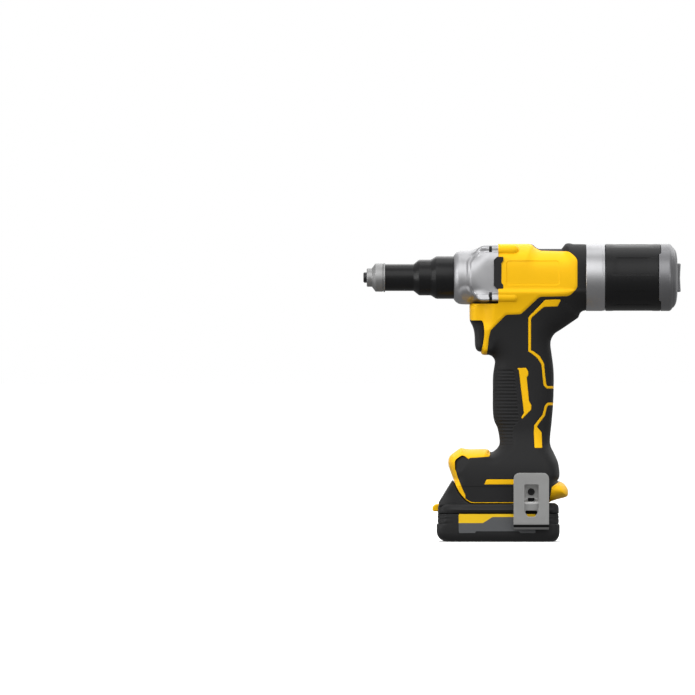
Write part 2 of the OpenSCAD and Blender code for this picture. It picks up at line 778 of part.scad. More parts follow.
// Collar on the screw's tail whose tongue runs in a slot of the housing
module turn_key() {
    color(dark_steel) difference() {
        union() {
            tube_x(key_x, key_x + key_l, key_r, draw_screw_r + run_gap);
            block([key_x, -key_w / 2, axis_h + (draw_screw_r + key_r) / 2],
                [key_x + key_l, key_w / 2, axis_h + key_h]);
        }
        tube_x(key_x - overrun, key_x + key_l + overrun, draw_screw_r + run_gap, 0);
    }
}

module thrust_bearing() {
    color(steel) tube_x(thrust_x, thrust_x + thrust_l, thrust_r, draw_screw_r + slide_gap);
}

module ball_nut() {
    bore = draw_screw_r + run_gap;
    color(steel) turned([[bore, nut_front_x], [ball_nut_r, nut_front_x], [ball_nut_r, nut_shoulder_x],
        [nut_journal_r, nut_shoulder_x], [nut_journal_r, nut_rear_x], [bore, nut_rear_x]]);
}

// Involute tooth outline from the pitch, the pressure angle and the backlash
function involute_angle(base_r, r) =
    let (a = acos(min(base_r / r, 1))) tan(a) * 180 / PI - a;
function tooth_points(teeth, k) =
    let (pitch_r = gear_module * teeth / 2, base_r = pitch_r * cos(pressure_angle))
    let (tip_r = pitch_r + gear_module * addendum_share, root_r = pitch_r - gear_module * dedendum_share)
    let (half = 90 / teeth - backlash_share * gear_module / pitch_r * 90 / PI)
    let (low_r = max(base_r, root_r), steps = 4)
    let (flank = [for (i = [0 : steps]) let (r = low_r + (tip_r - low_r) * i / steps)
        [r, half + involute_angle(base_r, pitch_r) - involute_angle(base_r, r)]])
    let (foot = [[root_r, flank[0][1]]])
    let (side = concat(foot, root_r < base_r ? flank : [for (i = [1 : steps]) flank[i]]))
    let (centre = 360 * k / teeth, last = len(side) - 1)
    concat([for (p = side) [p[0] * cos(centre - p[1]), p[0] * sin(centre - p[1])]],
        [for (i = [last : -1 : 0]) let (p = side[i])
            [p[0] * cos(centre + p[1]), p[0] * sin(centre + p[1])]]);
module gear(teeth, bore_r) {
    linear_extrude(gear_l) difference() {
        polygon([for (k = [0 : teeth - 1]) each tooth_points(teeth, k)]);
        circle(bore_r);
    }
}

module nut_gear() {
    color(steel) on_axis(gear_x) gear(nut_teeth, ball_nut_r + run_gap);
}

module nut_bearing() {
    color(steel) tube_x(nut_shoulder_x + pocket_gap, nut_rear_x, nut_bearing_r, nut_journal_r + run_gap);
}

// Pieces on the motor's axis
module on_motor(x) {
    translate([x, 0, motor_z]) rotate([0, 90, 0]) children();
}
module motor_ring(x0, x1, outer_r, inner_r) {
    on_motor(x0) difference() {
        cylinder(h = x1 - x0, r = outer_r);
        translate([0, 0, -overrun]) cylinder(h = x1 - x0 + 2 * overrun, r = inner_r);
    }
}

module motor_stator() {
    color(copper) motor_ring(motor_x, motor_rear_x, motor_r, stator_bore_r);
}

module motor_rotor() {
    color(dark_steel) {
        on_motor(gear_x) cylinder(h = shaft_end_x - gear_x, r = shaft_r);
        on_motor(motor_x + rotor_end_gap) cylinder(h = motor_l - 2 * rotor_end_gap, r = rotor_r);
    }
}

module motor_fan() {
    x = motor_rear_x + fan_gap;
    color(black) {
        motor_ring(x, x + fan_l, fan_hub_r, shaft_r + run_gap);
        motor_ring(x + fan_l - fan_blade_t, x + fan_l, fan_r, fan_hub_r - joint_lap);
        for (k = [0 : fan_blades - 1]) on_motor(x) rotate(360 * k / fan_blades)
            translate([fan_hub_r - joint_lap, -fan_blade_t / 2, 0])
                cube([fan_r - fan_hub_r, fan_blade_t, fan_l - fan_blade_t / 2]);
    }
}

module motor_pinion() {
    color(steel) on_motor(gear_x) rotate(180 / pinion_teeth) gear(pinion_teeth, shaft_r + run_gap);
}

module motor_front_bearing() {
    color(steel) motor_ring(front_bearing_x, front_bearing_x + bearing_l, bearing_r, shaft_r + run_gap);
}

module motor_rear_bearing() {
    color(steel) motor_ring(rear_bearing_x, rear_bearing_x + bearing_l, bearing_r, shaft_r + run_gap);
}

module mandrel_tube() {
    front = screw_tail_x - tube_lead;
    color(steel) tube_x(front, seal_x, tube_r, tube_r - tube_wall);
}

// Pockets that the drive, the electrics and the pack need inside the housing
module drive_pockets() {
    tube_x(-overrun, nut_shoulder_x, gear_module * nut_teeth / 2 + gear_tip_gap, 0);
    tube_x(0, nut_rear_x + pocket_gap, nut_bearing_r + run_gap, 0);
    tube_x(0, passage_end_x, passage_r, 0);
    tube_x(0, housing_l + overrun, tube_r + run_gap, 0);
    tube_x(housing_l - ring_spigot_l - pocket_gap, housing_l + overrun, ring_spigot_r + run_gap, 0);
    block([nut_rear_x, -key_w / 2 - slide_gap, axis_h],
        [passage_end_x, key_w / 2 + slide_gap, axis_h + key_h + slide_gap]);
    on_motor(-overrun)
        cylinder(h = gear_rear_x + 2 * overrun, r = gear_module * pinion_teeth / 2 + gear_tip_gap);
    on_motor(0) cylinder(h = front_bearing_x + bearing_l + pocket_gap, r = bearing_r + run_gap);
    on_motor(0) cylinder(h = motor_x, r = shaft_r + shaft_gap);
    on_motor(motor_x - pocket_gap) cylinder(h = rear_bearing_x - motor_x, r = motor_r + run_gap);
    on_motor(motor_x) cylinder(h = shaft_end_x + pocket_gap - motor_x, r = bearing_r + run_gap);
}
module handle_pockets() {
    block([trigger_front_x - overrun, -trigger_w / 2 - slide_gap, trigger_low_z - slide_gap],
        [switch_x, trigger_w / 2 + slide_gap, trigger_high_z + slide_gap]);
    block([switch_x - overrun, -switch_half_w - pocket_gap, switch_low_z - pocket_gap],
        [switch_x + switch_l + pocket_gap, switch_half_w + pocket_gap, switch_high_z + pocket_gap]);
    block([wire_x0, -wire_half_w, module_z + module_h], [wire_x1, wire_half_w, switch_low_z]);
    block([module_x0 - pocket_gap, -module_half_w - pocket_gap, module_z - pocket_gap],
        [module_x1 + pocket_gap, module_half_w + pocket_gap, module_z + module_h + pocket_gap]);
    block([led_front_x - overrun, -led_half_w - run_gap, led_z - led_half_h - run_gap],
        [led_front_x + led_l + pocket_gap, led_half_w + run_gap, led_z + led_half_h + run_gap]);
}
module foot_channel() {
    block([channel_front_x, -neck_half_w - slide_gap, pack_h - overrun],
        [channel_rear_x, neck_half_w + slide_gap, pack_h + lip_h + overrun]);
    block([channel_front_x, -rail_half_w - slide_gap, pack_h + lip_h],
        [channel_rear_x, rail_half_w + slide_gap, channel_z]);
    block([channel_front_x, -rail_half_w - slide_gap, pack_h - overrun],
        [lip_front_x, rail_half_w + slide_gap, channel_z]);
    block([channel_front_x, -tongue_half_w - slide_gap, channel_z - overrun],
        [tongue_x + tongue_l + slide_gap, tongue_half_w + slide_gap, channel_z + tongue_proud]);
}
module housing_pockets() {
    drive_pockets();
    handle_pockets();
    foot_channel();
    for (p = screw_place_shares) {
        x = body_x(p[0]);
        z = body_z(p[1]);
        seat = p[2] * barrel_half_w;
        rod_y(seat - screw_l, seat + overrun, screw_r + run_gap, x, z);
        rod_y(seat, barrel_w, screw_head_r + pocket_gap, x, z);
    }
}

// Additions on each side: screw bosses at the gearcase, the hook's boss and the rear bumper
module side_additions() {
    for (p = case_places()) {
        rod_x(0, boss_l, lug_r, p[0], p[1]);
        translate([boss_l, p[0], p[1]]) sphere(lug_r);
    }
    rod_y(foot_half_w - insert_l, boss_y, boss_r, hook_x, hook_pad_z);
    side_prism(0, rear_bumper_half_w) polygon(body_points(rear_bumper_shares));
}
module side_cuts() {
    for (p = case_places()) rod_x(-overrun, case_screw_l + pocket_gap, case_screw_r + run_gap, p[0], p[1]);
    rod_y(foot_half_w - insert_l - pocket_gap, boss_y + overrun, insert_r + run_gap, hook_x, hook_pad_z);
    block([plate_x0, barrel_half_w - plate_depth, plate_low_z], [plate_x1, barrel_w, plate_high_z]);
    vent_block(pocket_gap);
}

// One half of the housing, on the +Y side: full size where yellow shows, drawn in under the overmould
module housing_half() {
    difference() {
        union() {
            intersection() {
                form_half(0);
                yellow_zones();
            }
            form_half(overmould_t);
            chin_half();
            side_additions();
        }
        side_cuts();
    }
}
module grip_half() {
    difference() {
        union() {
            form_half(0);
            intersection() {
                rod_y(0, barrel_half_w / 2, top_rib_r, top_rib_x,
                    axis_h + barrel_r - top_rib_r + overmould_t / 2);
                block([0, 0, axis_h], [housing_l, barrel_w, axis_h + barrel_d]);
            }
        }
        form_half(overmould_t);
        yellow_zones();
        chin_half();
        side_additions();
        vent_block(pocket_gap);
    }
}

module housing_left() {
    color(yellow) difference() {
        mirror([0, 1, 0]) housing_half();
        housing_pockets();
    }
}
module housing_right() {
    color(yellow) difference() {
        housing_half();
        housing_pockets();
    }
}
module grip_left() {
    color(black) difference() {
        mirror([0, 1, 0]) grip_half();
        housing_pockets();
    }
}
module grip_right() {
    color(black) difference() {
        grip_half();
        housing_pockets();
    }
}

module housing_screws() {
    color(dark_steel) for (p = screw_place_shares) {
        x = body_x(p[0]);
        z = body_z(p[1]);
        seat = p[2] * barrel_half_w;
        rod_y(seat - screw_l + screw_tip_gap, seat, screw_r, x, z);
        rod_y(seat, seat + screw_head_l, screw_head_r, x, z);
    }
}

// The dark insert's outline: a bar with chamfered front corners and two short lips to the rear
module vent_outline() {
    polygon([[vent_x0, vent_low_z + vent_chamfer], [vent_x0 + vent_chamfer, vent_low_z],
        [vent_x1, vent_low_z], [vent_x1, vent_low_z + vent_lip_h], [vent_bar_x, vent_low_z + vent_lip_h],
        [vent_bar_x, vent_high_z - vent_lip_h], [vent_x1, vent_high_z - vent_lip_h], [vent_x1, vent_high_z],
        [vent_x0 + vent_chamfer, vent_high_z], [vent_x0, vent_high_z - vent_chamfer]]);
}
module vent_block(gap) {
    side_prism(vent_y - gap, barrel_w) offset(delta = gap) vent_outline();
}
module side_vents() {
    color(black) mirrored_pair() side_prism(vent_y, vent_y + vent_t) vent_outline();
}

// Trigger with a hollowed front
module trigger() {
    l = trigger_rear_x - trigger_front_x;
    h = trigger_high_z - trigger_low_z;
    color(black) side_prism(-trigger_w / 2, trigger_w / 2) polygon([for (p = trigger_shares)
        [trigger_front_x + p[0] * l, trigger_low_z + p[1] * h]]);
}

module trigger_switch() {
    color(black) block([switch_x, -switch_half_w, switch_low_z],
        [switch_x + switch_l, switch_half_w, switch_high_z]);
}

module control_module() {
    color(grey) block([module_x0, -module_half_w, module_z],
        [module_x1, module_half_w, module_z + module_h]);
}

// Block with flat blades that reach forward into the pack
module terminal_block() {
    mid_z = (terminal_z + channel_z) / 2;
    color(brass) {
        block([terminal_x, -terminal_half_w, terminal_z + slide_gap],
            [channel_rear_x, terminal_half_w, channel_z]);
        for (k = [0 : blade_count - 1]) {
            y = (k - (blade_count - 1) / 2) * blade_pitch;
            block([terminal_x - blade_l, y - blade_t / 2, mid_z - blade_h / 2],
                [terminal_x + joint_lap, y + blade_t / 2, mid_z + blade_h / 2]);
        }
    }
}

module led_lens() {
    color("white") block([led_front_x, -led_half_w, led_z - led_half_h],
        [led_front_x + led_l, led_half_w, led_z + led_half_h]);
}

// Sheet hook: an inner leg screwed to the foot, a jog past the pack, a round bend and the outer leg
module hook_section() {
    pad_top = hook_pad_z + hook_pad_r;
    translate([-hook_pad_y - hook_t, hook_jog_z]) square([hook_t, pad_top - hook_jog_z]);
    polygon([[-hook_pad_y, hook_jog_z], [-hook_pad_y - hook_t, hook_jog_z],
        [-hook_inner_y - hook_t, hook_jog_low_z], [-hook_inner_y, hook_jog_low_z]]);
    translate([-hook_inner_y - hook_t, hook_bend_z]) square([hook_t, hook_jog_low_z - hook_bend_z]);
    difference() {
        translate([-hook_bend_y, hook_bend_z]) circle(hook_bend_r + hook_t);
        translate([-hook_bend_y, hook_bend_z]) circle(hook_bend_r);
        translate([-hook_outer_y - hook_t - overrun, hook_bend_z])
            square([hook_gap + 2 * (hook_t + overrun), hook_gap + hook_t]);
    }
    translate([-hook_outer_y - hook_t, hook_bend_z]) square([hook_t, hook_top_z - hook_bend_z]);
}
module belt_hook() {
    half = hook_w / 2;
    window = [[-window_w / 2, window_high_z], [window_w / 2, window_high_z],
        [window_w / 2, window_low_z + window_chamfer_h], [window_low_w / 2, window_low_z],
        [-window_low_w / 2, window_low_z], [-window_w / 2, window_low_z + window_chamfer_h]];
    color(steel) difference() {
        translate([hook_x - half, 0, 0]) rotate([90, 0, 90]) linear_extrude(hook_w) hook_section();
        translate([hook_x, 0, 0]) side_prism(-hook_outer_y - hook_t - overrun, -hook_outer_y + overrun)
            polygon(window);
        for (side = [-1, 1]) {
            translate([hook_x + side * (half - hook_corner_r), 0, hook_top_z - hook_corner_r])
                difference() {
                    block([side < 0 ? -hook_w : 0, -hook_outer_y - hook_t - overrun, 0],
                        [side < 0 ? 0 : hook_w, -hook_outer_y + overrun, hook_w]);
                    rod_y(-hook_outer_y - hook_w, -hook_outer_y + hook_w, hook_corner_r, 0, 0);
                }
            block([hook_x + (side < 0 ? -hook_w : hook_pad_w / 2), -hook_bend_y + hook_bend_r / 2,
                hook_bend_z + hook_bend_r], [hook_x + (side < 0 ? -hook_pad_w / 2 : hook_w), 0, hook_top_z]);
        }
        rod_y(-hook_inner_y - hook_t, 0, hook_screw_r + pocket_gap, hook_x, hook_pad_z);
    }
}

module hook_screw() {
    seat = -hook_pad_y - hook_t;
    color(dark_steel) {
        rod_y(seat, -foot_half_w + insert_l, hook_screw_r, hook_x, hook_pad_z);
        difference() {
            rod_y(seat - hook_head_l, seat, hook_head_r, hook_x, hook_pad_z);
            translate([hook_x, seat - hook_head_l, hook_pad_z]) rotate([90, 0, 0])
                cylinder(h = hook_head_l, r = hook_screw_r, center = true, $fn = 6);
        }
    }
}

module hook_inserts() {
    color(brass) mirrored_pair() difference() {
        rod_y(foot_half_w - insert_l, boss_y, insert_r, hook_x, hook_pad_z);
        rod_y(foot_half_w - insert_l - overrun, boss_y + overrun, thread_r, hook_x, hook_pad_z);
    }
}

// Bright ring: clamped in the housing in front, with a spigot for the canister behind
module collector_ring() {
    front = housing_l - ring_spigot_l;
    rear = ring_rear_x + collector_spigot_l;
    hollow = ring_spigot_r - ring_wall;
    hole = tube_r + run_gap;
    groove_r = seal_centre_r - seal_r - run_gap;
    groove = seal_r + run_gap;
    color(steel) turned([[hollow, front], [ring_spigot_r, front], [ring_spigot_r, housing_l],
        [barrel_r - edge_break, housing_l], [barrel_r, housing_l + edge_break],
        [barrel_r, ring_rear_x - edge_break], [barrel_r - edge_break, ring_rear_x],
        [collector_spigot_r, ring_rear_x], [collector_spigot_r, seal_x - groove],
        [groove_r, seal_x - groove], [groove_r, seal_x + groove],
        [collector_spigot_r, seal_x + groove], [collector_spigot_r, rear],
        [hollow, rear], [hollow, housing_l + ring_web], [hole, housing_l + ring_web],
        [hole, housing_l], [hollow, housing_l]]);
}

module seal_ring() {
    color(black) on_axis(seal_x) rotate_extrude() translate([seal_centre_r, 0]) circle(seal_r);
}

// A ring sector about the pull axis, from x0 to x1
module sector_x(x0, x1, inner_r, outer_r, middle, half_angle) {
    reach = 2 * outer_r;
    intersection() {
        tube_x(x0, x1, outer_r, inner_r);
        on_axis(x0 - overrun) rotate(middle) linear_extrude(x1 - x0 + 2 * overrun)
            polygon([[0, 0], [reach * cos(half_angle), -reach * sin(half_angle)],
                [reach * cos(half_angle), reach * sin(half_angle)]]);
    }
}

// Canister with shallow gripping flats round it and notches for the cap's tabs
module collector_canister() {
    front = ring_rear_x + canister_gap;
    color(black) difference() {
        tube_x(front, cap_joint_x, barrel_r, collector_bore_r);
        for (k = [0 : pad_count - 1]) sector_x(front + pad_margin, cap_joint_x - pad_margin,
            barrel_r - pad_depth, barrel_r + overrun, pad_turn + 360 * k / pad_count, pad_half_angle);
        for (middle = cap_tab_angles) sector_x(cap_joint_x - cap_tab_l - pocket_gap, cap_joint_x + overrun,
            collector_bore_r - overrun, barrel_r + overrun, middle, cap_tab_half_angle + cap_tab_play);
    }
}

module collector_cap() {
    spigot = collector_bore_r - run_gap;
    shoulder_x = cap_rear_x - cap_round_l;
    dome = [for (s = cap_round_shares) [barrel_r - s[1] * cap_round_r, shoulder_x + s[0] * cap_round_l]];
    inner = spigot - cap_wall;
    color(grey) {
        turned(concat([[inner, cap_joint_x - cap_spigot_l], [spigot, cap_joint_x - cap_spigot_l],
            [spigot, cap_joint_x], [barrel_r, cap_joint_x]], dome,
            [[0, cap_rear_x], [0, cap_rear_x - cap_wall],
            [barrel_r - cap_round_r, cap_rear_x - cap_wall], [inner, shoulder_x - cap_wall / 2]]));
        for (middle = cap_tab_angles) sector_x(cap_joint_x - cap_tab_l, cap_joint_x + joint_lap,
            collector_bore_r + run_gap, barrel_r, middle, cap_tab_half_angle);
        side_prism(-lug_t / 2, lug_t / 2) polygon([
            [cap_rear_x - lug_root_l, axis_h - lug_root_half_l],
            [cap_rear_x + cap_lug_h, axis_h - lug_half_l],
            [cap_rear_x + cap_lug_h * lug_waist_share, axis_h], [cap_rear_x + cap_lug_h, axis_h + lug_half_l],
            [cap_rear_x - lug_root_l, axis_h + lug_root_half_l], [cap_rear_x - cap_wall / 2, axis_h]]);
    }
}

// Lower shell of the pack, on a slightly smaller foot
module pack_base() {
    color(black) difference() {
        hull() {
            linear_extrude(pack_foot_h) rounded_rect(pack_l - 2 * pack_foot_inset,
                pack_w - 2 * pack_foot_inset, pack_corner_r - pack_foot_inset, $fn = 32);
            translate([0, 0, pack_foot_h]) linear_extrude(pack_base_h - pack_foot_h)
                rounded_rect(pack_l, pack_w, pack_corner_r, $fn = 32);
        }
        block([-cell_half_l - pocket_gap, -cell_half_w - pocket_gap, pack_wall],
            [cell_half_l + pocket_gap, cell_half_w + pocket_gap, pack_base_h + overrun]);
        translate([0, 0, pack_groove_low_z]) linear_extrude(pack_groove_h) difference() {
            rounded_rect(pack_l + overrun, pack_w + overrun, pack_corner_r);
            rounded_rect(pack_l - 2 * pack_groove, pack_w - 2 * pack_groove, pack_corner_r - pack_groove);
            translate([label_x0 - overrun, -pack_w]) square([label_x1 - label_x0 + 2 * overrun, 2 * pack_w]);
        }
        for (x = [-1, 1], y = [-1, 1]) translate([x * pack_screw_x, y * pack_screw_y, -overrun]) {
            cylinder(h = pack_base_h + 2 * overrun, r = pack_screw_r + pocket_gap);
            cylinder(h = pack_screw_head_l + 2 * overrun, r = pack_screw_head_r + pocket_gap);
        }
    }
}

// Upper shell with the front tower and the rail block that slides into the foot
module pack_cover() {
    tower_back = [for (row = foot_shares) if (body_z(row[0]) < tower_high_z)
        [body_x(row[1]) - tower_gap, body_z(row[0]) - slide_gap]];
    button_end = -pack_half_l + button_l + button_travel - button_proud + pocket_gap;
    color(black) difference() {
        union() {
            translate([0, 0, cover_low_z]) linear_extrude(cover_high_z - cover_low_z)
                rounded_rect(pack_l, pack_w, pack_corner_r);
            side_prism(-tower_half_w, tower_half_w) polygon(concat(
                [[-pack_half_l + slide_gap, cover_high_z - joint_lap],
                [tower_back[0][0], cover_high_z - joint_lap]],
                tower_back, [[tower_back[len(tower_back) - 1][0] - tower_top_l, tower_high_z]]));
            block([rail_front_x, -neck_half_w, cover_high_z - joint_lap],
                [rail_rear_x, neck_half_w, rail_high_z]);
            block([rail_front_x, -rail_half_w, pack_h + lip_h + slide_gap],
                [rail_rear_x, rail_half_w, rail_high_z]);
        }
        block([button_end - pack_l, -button_half_w - slide_gap, button_low_z - slide_gap],
            [button_end, button_half_w + slide_gap, button_high_z + slide_gap]);
        block([tongue_x - slide_gap, -tongue_half_w - slide_gap, tongue_low_z - button_travel - pocket_gap],
            [tongue_x + tongue_l + slide_gap, tongue_half_w + slide_gap, channel_z + overrun]);
        for (k = [0 : blade_count - 1]) {
            y = (k - (blade_count - 1) / 2) * blade_pitch;
            block([rail_rear_x - blade_l - overrun, y - blade_t / 2 - slide_gap, terminal_z],
                [rail_rear_x + overrun, y + blade_t / 2 + slide_gap, channel_z + overrun]);
        }
        for (x = [-1, 1], y = [-1, 1]) translate([x * pack_screw_x, y * pack_screw_y, 0])
            cylinder(h = cover_low_z + pack_wall * 2, r = pack_screw_r + run_gap);
    }
}

// Flat cells in a stack
module pack_cells() {
    low = pack_wall;
    pitch = (cells_high_z - low) / cell_count;
    color(grey) for (k = [0 : cell_count - 1])
        block([-cell_half_l, -cell_half_w, low + k * pitch],
            [cell_half_l, cell_half_w, low + (k + 1) * pitch - cell_gap]);
}

module pack_board() {
    color(board_green) block(
        [-cell_half_l + board_margin, -cell_half_w + board_margin, cells_high_z],
        [cell_half_l - board_margin, cell_half_w - board_margin, cells_high_z + board_t]);
}

module pack_screws() {
    color(dark_steel) for (x = [-1, 1], y = [-1, 1])
        translate([x * pack_screw_x, y * pack_screw_y, pack_screw_sink]) {
        cylinder(h = cover_low_z + pack_wall, r = pack_screw_r);
        cylinder(h = pack_screw_head_l, r = pack_screw_head_r);
    }
}

// Bare plate on the pack's side, with two short tabs under it
module pack_label() {
    color(grey) side_prism(-pack_half_w - label_t, -pack_half_w) {
        translate([label_x0, label_low_z]) square([label_x1 - label_x0, label_high_z - label_low_z]);
        for (x = [label_x0, label_x1 - label_tab_l]) translate([x, label_low_z - label_tab_h])
            square([label_tab_l, label_tab_h + joint_lap]);
    }
}

module release_button() {
    front = -pack_half_l - button_proud;
    color(yellow) side_prism(-button_half_w, button_half_w) polygon([
        [front, button_low_z + button_chamfer], [front + button_chamfer, button_low_z],
        [front + button_l, button_low_z], [front + button_l, button_high_z],
        [front + button_slope, button_high_z], [front, button_high_z - button_slope]]);
}

module latch_tongue() {
    color(black) side_prism(-tongue_half_w, tongue_half_w) polygon([
        [tongue_x, tongue_low_z], [tongue_x + tongue_l, tongue_low_z],
        [tongue_x + tongue_l, channel_z + tongue_proud - slide_gap - tongue_proud / 2],
        [tongue_x + tongue_l / 2, channel_z + tongue_proud - slide_gap],
        [tongue_x, channel_z + tongue_proud - slide_gap]]);
}

nosepiece();
nose_cone();
nose_sleeve();
base_collar();
gearcase();
gearcase_screws();
jaws();
jaw_case();
jaw_pusher();
jaw_spring();
draw_screw();
turn_key();
thrust_bearing();
ball_nut();
nut_gear();
nut_bearing();
motor_stator();
motor_rotor();
motor_fan();
motor_pinion();
motor_front_bearing();
motor_rear_bearing();
mandrel_tube();
housing_left();
housing_right();
grip_left();
grip_right();
housing_screws();
side_vents();
trigger();
trigger_switch();
control_module();
terminal_block();
led_lens();
belt_hook();
hook_screw();
hook_inserts();
collector_ring();
seal_ring();
collector_canister();
collector_cap();
pack_base();
pack_cover();
pack_cells();
pack_board();
pack_screws();
pack_label();
release_button();
latch_tongue();
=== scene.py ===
# %% [markdown]
# # Dressing a battery rivet tool
# The CAD file gives every piece its size, its place and its joint. This lesson gives the same
# pieces the looks of the real tool: a moulded yellow case with a soft black grip, a cast nose
# end, a steel belt hook and a battery under the foot. Nothing here moves a piece, so every new
# surface is made where the CAD piece already is, and then rides on the same body.
#
# We start by loading the frame.

# %% Load the frame
import bmesh
import bpy
import json
import math
import mathutils
import numpy as np
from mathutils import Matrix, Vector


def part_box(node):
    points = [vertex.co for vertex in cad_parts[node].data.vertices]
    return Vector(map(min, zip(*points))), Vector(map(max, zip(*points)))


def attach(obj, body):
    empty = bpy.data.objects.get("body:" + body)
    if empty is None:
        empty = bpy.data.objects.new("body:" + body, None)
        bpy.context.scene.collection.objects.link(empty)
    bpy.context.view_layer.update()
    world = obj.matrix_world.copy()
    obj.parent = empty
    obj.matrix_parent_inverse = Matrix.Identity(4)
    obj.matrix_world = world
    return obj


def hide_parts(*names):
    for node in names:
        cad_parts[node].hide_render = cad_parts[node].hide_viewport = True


scene = bpy.context.scene
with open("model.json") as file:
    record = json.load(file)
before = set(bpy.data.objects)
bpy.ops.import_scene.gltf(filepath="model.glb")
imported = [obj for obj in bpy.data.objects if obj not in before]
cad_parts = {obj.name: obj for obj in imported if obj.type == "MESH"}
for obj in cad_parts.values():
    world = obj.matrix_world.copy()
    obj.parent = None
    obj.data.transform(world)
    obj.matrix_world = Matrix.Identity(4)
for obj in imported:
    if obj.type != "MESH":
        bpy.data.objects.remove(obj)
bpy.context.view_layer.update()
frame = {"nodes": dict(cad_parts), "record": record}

# %% [markdown]
# ## Sizes from the frame
# Blender works in metres, but a hand tool is easier to think about in millimetres, so the shapes
# below are written in millimetres and scaled once, when a mesh is made. The main stations along
# the tool come from the boxes of the CAD nodes. Outlines were read off the photo, which looks
# square at the tool's side, so one scale turns a photo pixel into millimetres.

# %% Stations and the photo's scale
MM = 0.001
PHOTO_SCALE = 0.95
PHOTO_JOINT_PX = 498.0
PHOTO_GROUND_PY = 541.2
PHOTO_SIDE_PX = 695.0


def box(node):
    low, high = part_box(node)
    return np.array(low) / MM, np.array(high) / MM


def traced(points):
    points = np.array(points, float)
    return np.stack([(points[:, 0] - PHOTO_JOINT_PX) * PHOTO_SCALE,
                     (PHOTO_GROUND_PY - points[:, 1]) * PHOTO_SCALE], 1)


ring_low, ring_high = box("collector_ring")
axis_z = (ring_low[2] + ring_high[2]) / 2
print("axis height", round(axis_z, 2))

# %% [markdown]
# ## Small tools for outlines
# A few helpers do most of the drawing. `spline` runs a smooth curve through a few points, as a
# French curve does on paper. `fillet` rounds the corners of a straight-sided outline, each by its
# own radius. `distance`, `nearest` and `signed` tell how far a point is from a line, from several
# lines, and on which side of an outline it lies; grooves, edges and colour borders all come from
# such distances. `eased` softens a table of values into a smooth curve.

# %% Outline helpers
CHUNK = 3000            # points handled at once, to spare memory
STRAIGHT = 1.55         # half a corner's angle from which it counts as straight
EDGE_SHARE = 0.49       # a fillet takes less than half of an edge
ZERO_LENGTH, ZERO_RISE = 1e-12, 1e-9
EASE_SAMPLES, EASE_REACH = 900, 300


def spline(points, per=8):
    p = np.asarray(points, float)
    q = np.vstack([2 * p[0] - p[1], p, 2 * p[-1] - p[-2]])
    t = np.linspace(0, 1, per, endpoint=False)[:, None]
    parts = []
    for a, b, c, d in zip(q[:-3], q[1:-2], q[2:-1], q[3:]):
        parts.append(0.5 * (2 * b + (c - a) * t + (2 * a - 5 * b + 4 * c - d) * t ** 2
                            + (3 * b - a - 3 * c + d) * t ** 3))
    return np.vstack(parts + [p[-1:]])


def fillet(points, radius, steps=6, closed=True):
    p = np.asarray(points, float)
    count = len(p)
    radii = np.broadcast_to(np.asarray(radius, float), (count,))
    out = []
    for i in range(count):
        if not closed and i in (0, count - 1):
            out.append(p[i])
            continue
        a, b, c = p[i - 1], p[i], p[(i + 1) % count]
        u, v = a - b, c - b
        lu, lv = np.linalg.norm(u), np.linalg.norm(v)
        u, v = u / lu, v / lv
        half = math.acos(float(np.clip(u @ v, -1, 1))) / 2
        if radii[i] <= 0 or half > STRAIGHT:
            out.append(b)
            continue
        cut = min(radii[i] / math.tan(half), EDGE_SHARE * lu, EDGE_SHARE * lv)
        r = cut * math.tan(half)
        centre = b + (u + v) / np.linalg.norm(u + v) * (r / math.sin(half))
        start, end = b + u * cut - centre, b + v * cut - centre
        a0 = math.atan2(start[1], start[0])
        turn = (math.atan2(end[1], end[0]) - a0 + math.pi) % (2 * math.pi) - math.pi
        for k in range(steps + 1):
            a1 = a0 + turn * k / steps
            out.append(centre + r * np.array([math.cos(a1), math.sin(a1)]))
    return np.array(out)


def distance(p, line):
    a, d = line[:-1], line[1:] - line[:-1]
    long = np.maximum((d * d).sum(1), ZERO_LENGTH)
    out = np.empty(len(p))
    for s in range(0, len(p), CHUNK):
        w = p[s:s + CHUNK, None] - a
        t = np.clip((w * d).sum(2) / long, 0, 1)
        out[s:s + CHUNK] = np.sqrt(((w - t[..., None] * d) ** 2).sum(2).min(1))
    return out


def closed(outline):
    return np.vstack([outline, outline[:1]])


def inside(p, outline):
    a, b = outline, np.roll(outline, -1, 0)
    rise = np.where(b[:, 1] == a[:, 1], ZERO_RISE, b[:, 1] - a[:, 1])
    out = np.empty(len(p), bool)
    for s in range(0, len(p), CHUNK):
        x, z = p[s:s + CHUNK, :1], p[s:s + CHUNK, 1:]
        spans = (a[:, 1] > z) != (b[:, 1] > z)
        border = a[:, 0] + (z - a[:, 1]) * (b[:, 0] - a[:, 0]) / rise
        out[s:s + CHUNK] = (spans & (x < border)).sum(1) % 2
    return out


def signed(p, outline, reach=8.0):
    near = ((p > outline.min(0) - reach) & (p < outline.max(0) + reach)).all(1)
    out = np.full(len(p), reach)
    q = p[near]
    out[near] = np.where(inside(q, outline), -1.0, 1.0) * distance(q, closed(outline))
    return out


def nearest(p, lines):
    return np.min([distance(p, line) for line in lines], axis=0)


def smooth(low, high, value):
    t = np.clip((value - low) / (high - low), 0, 1)
    return t * t * (3 - 2 * t)


def eased(value, table, soft=6.0):
    at, what = np.array(table, float).T
    order = np.argsort(at)
    grid = np.linspace(at.min() - 4 * soft, at.max() + 4 * soft, EASE_SAMPLES)
    line = np.interp(grid, at[order], what[order])
    spread = np.arange(-EASE_REACH, EASE_REACH + 1) * (grid[1] - grid[0])
    kernel = np.exp(-0.5 * (spread / (soft / 2)) ** 2)
    pad = np.pad(line, EASE_REACH, mode="edge")
    return np.interp(value, grid, np.convolve(pad, kernel / kernel.sum(), "valid"))


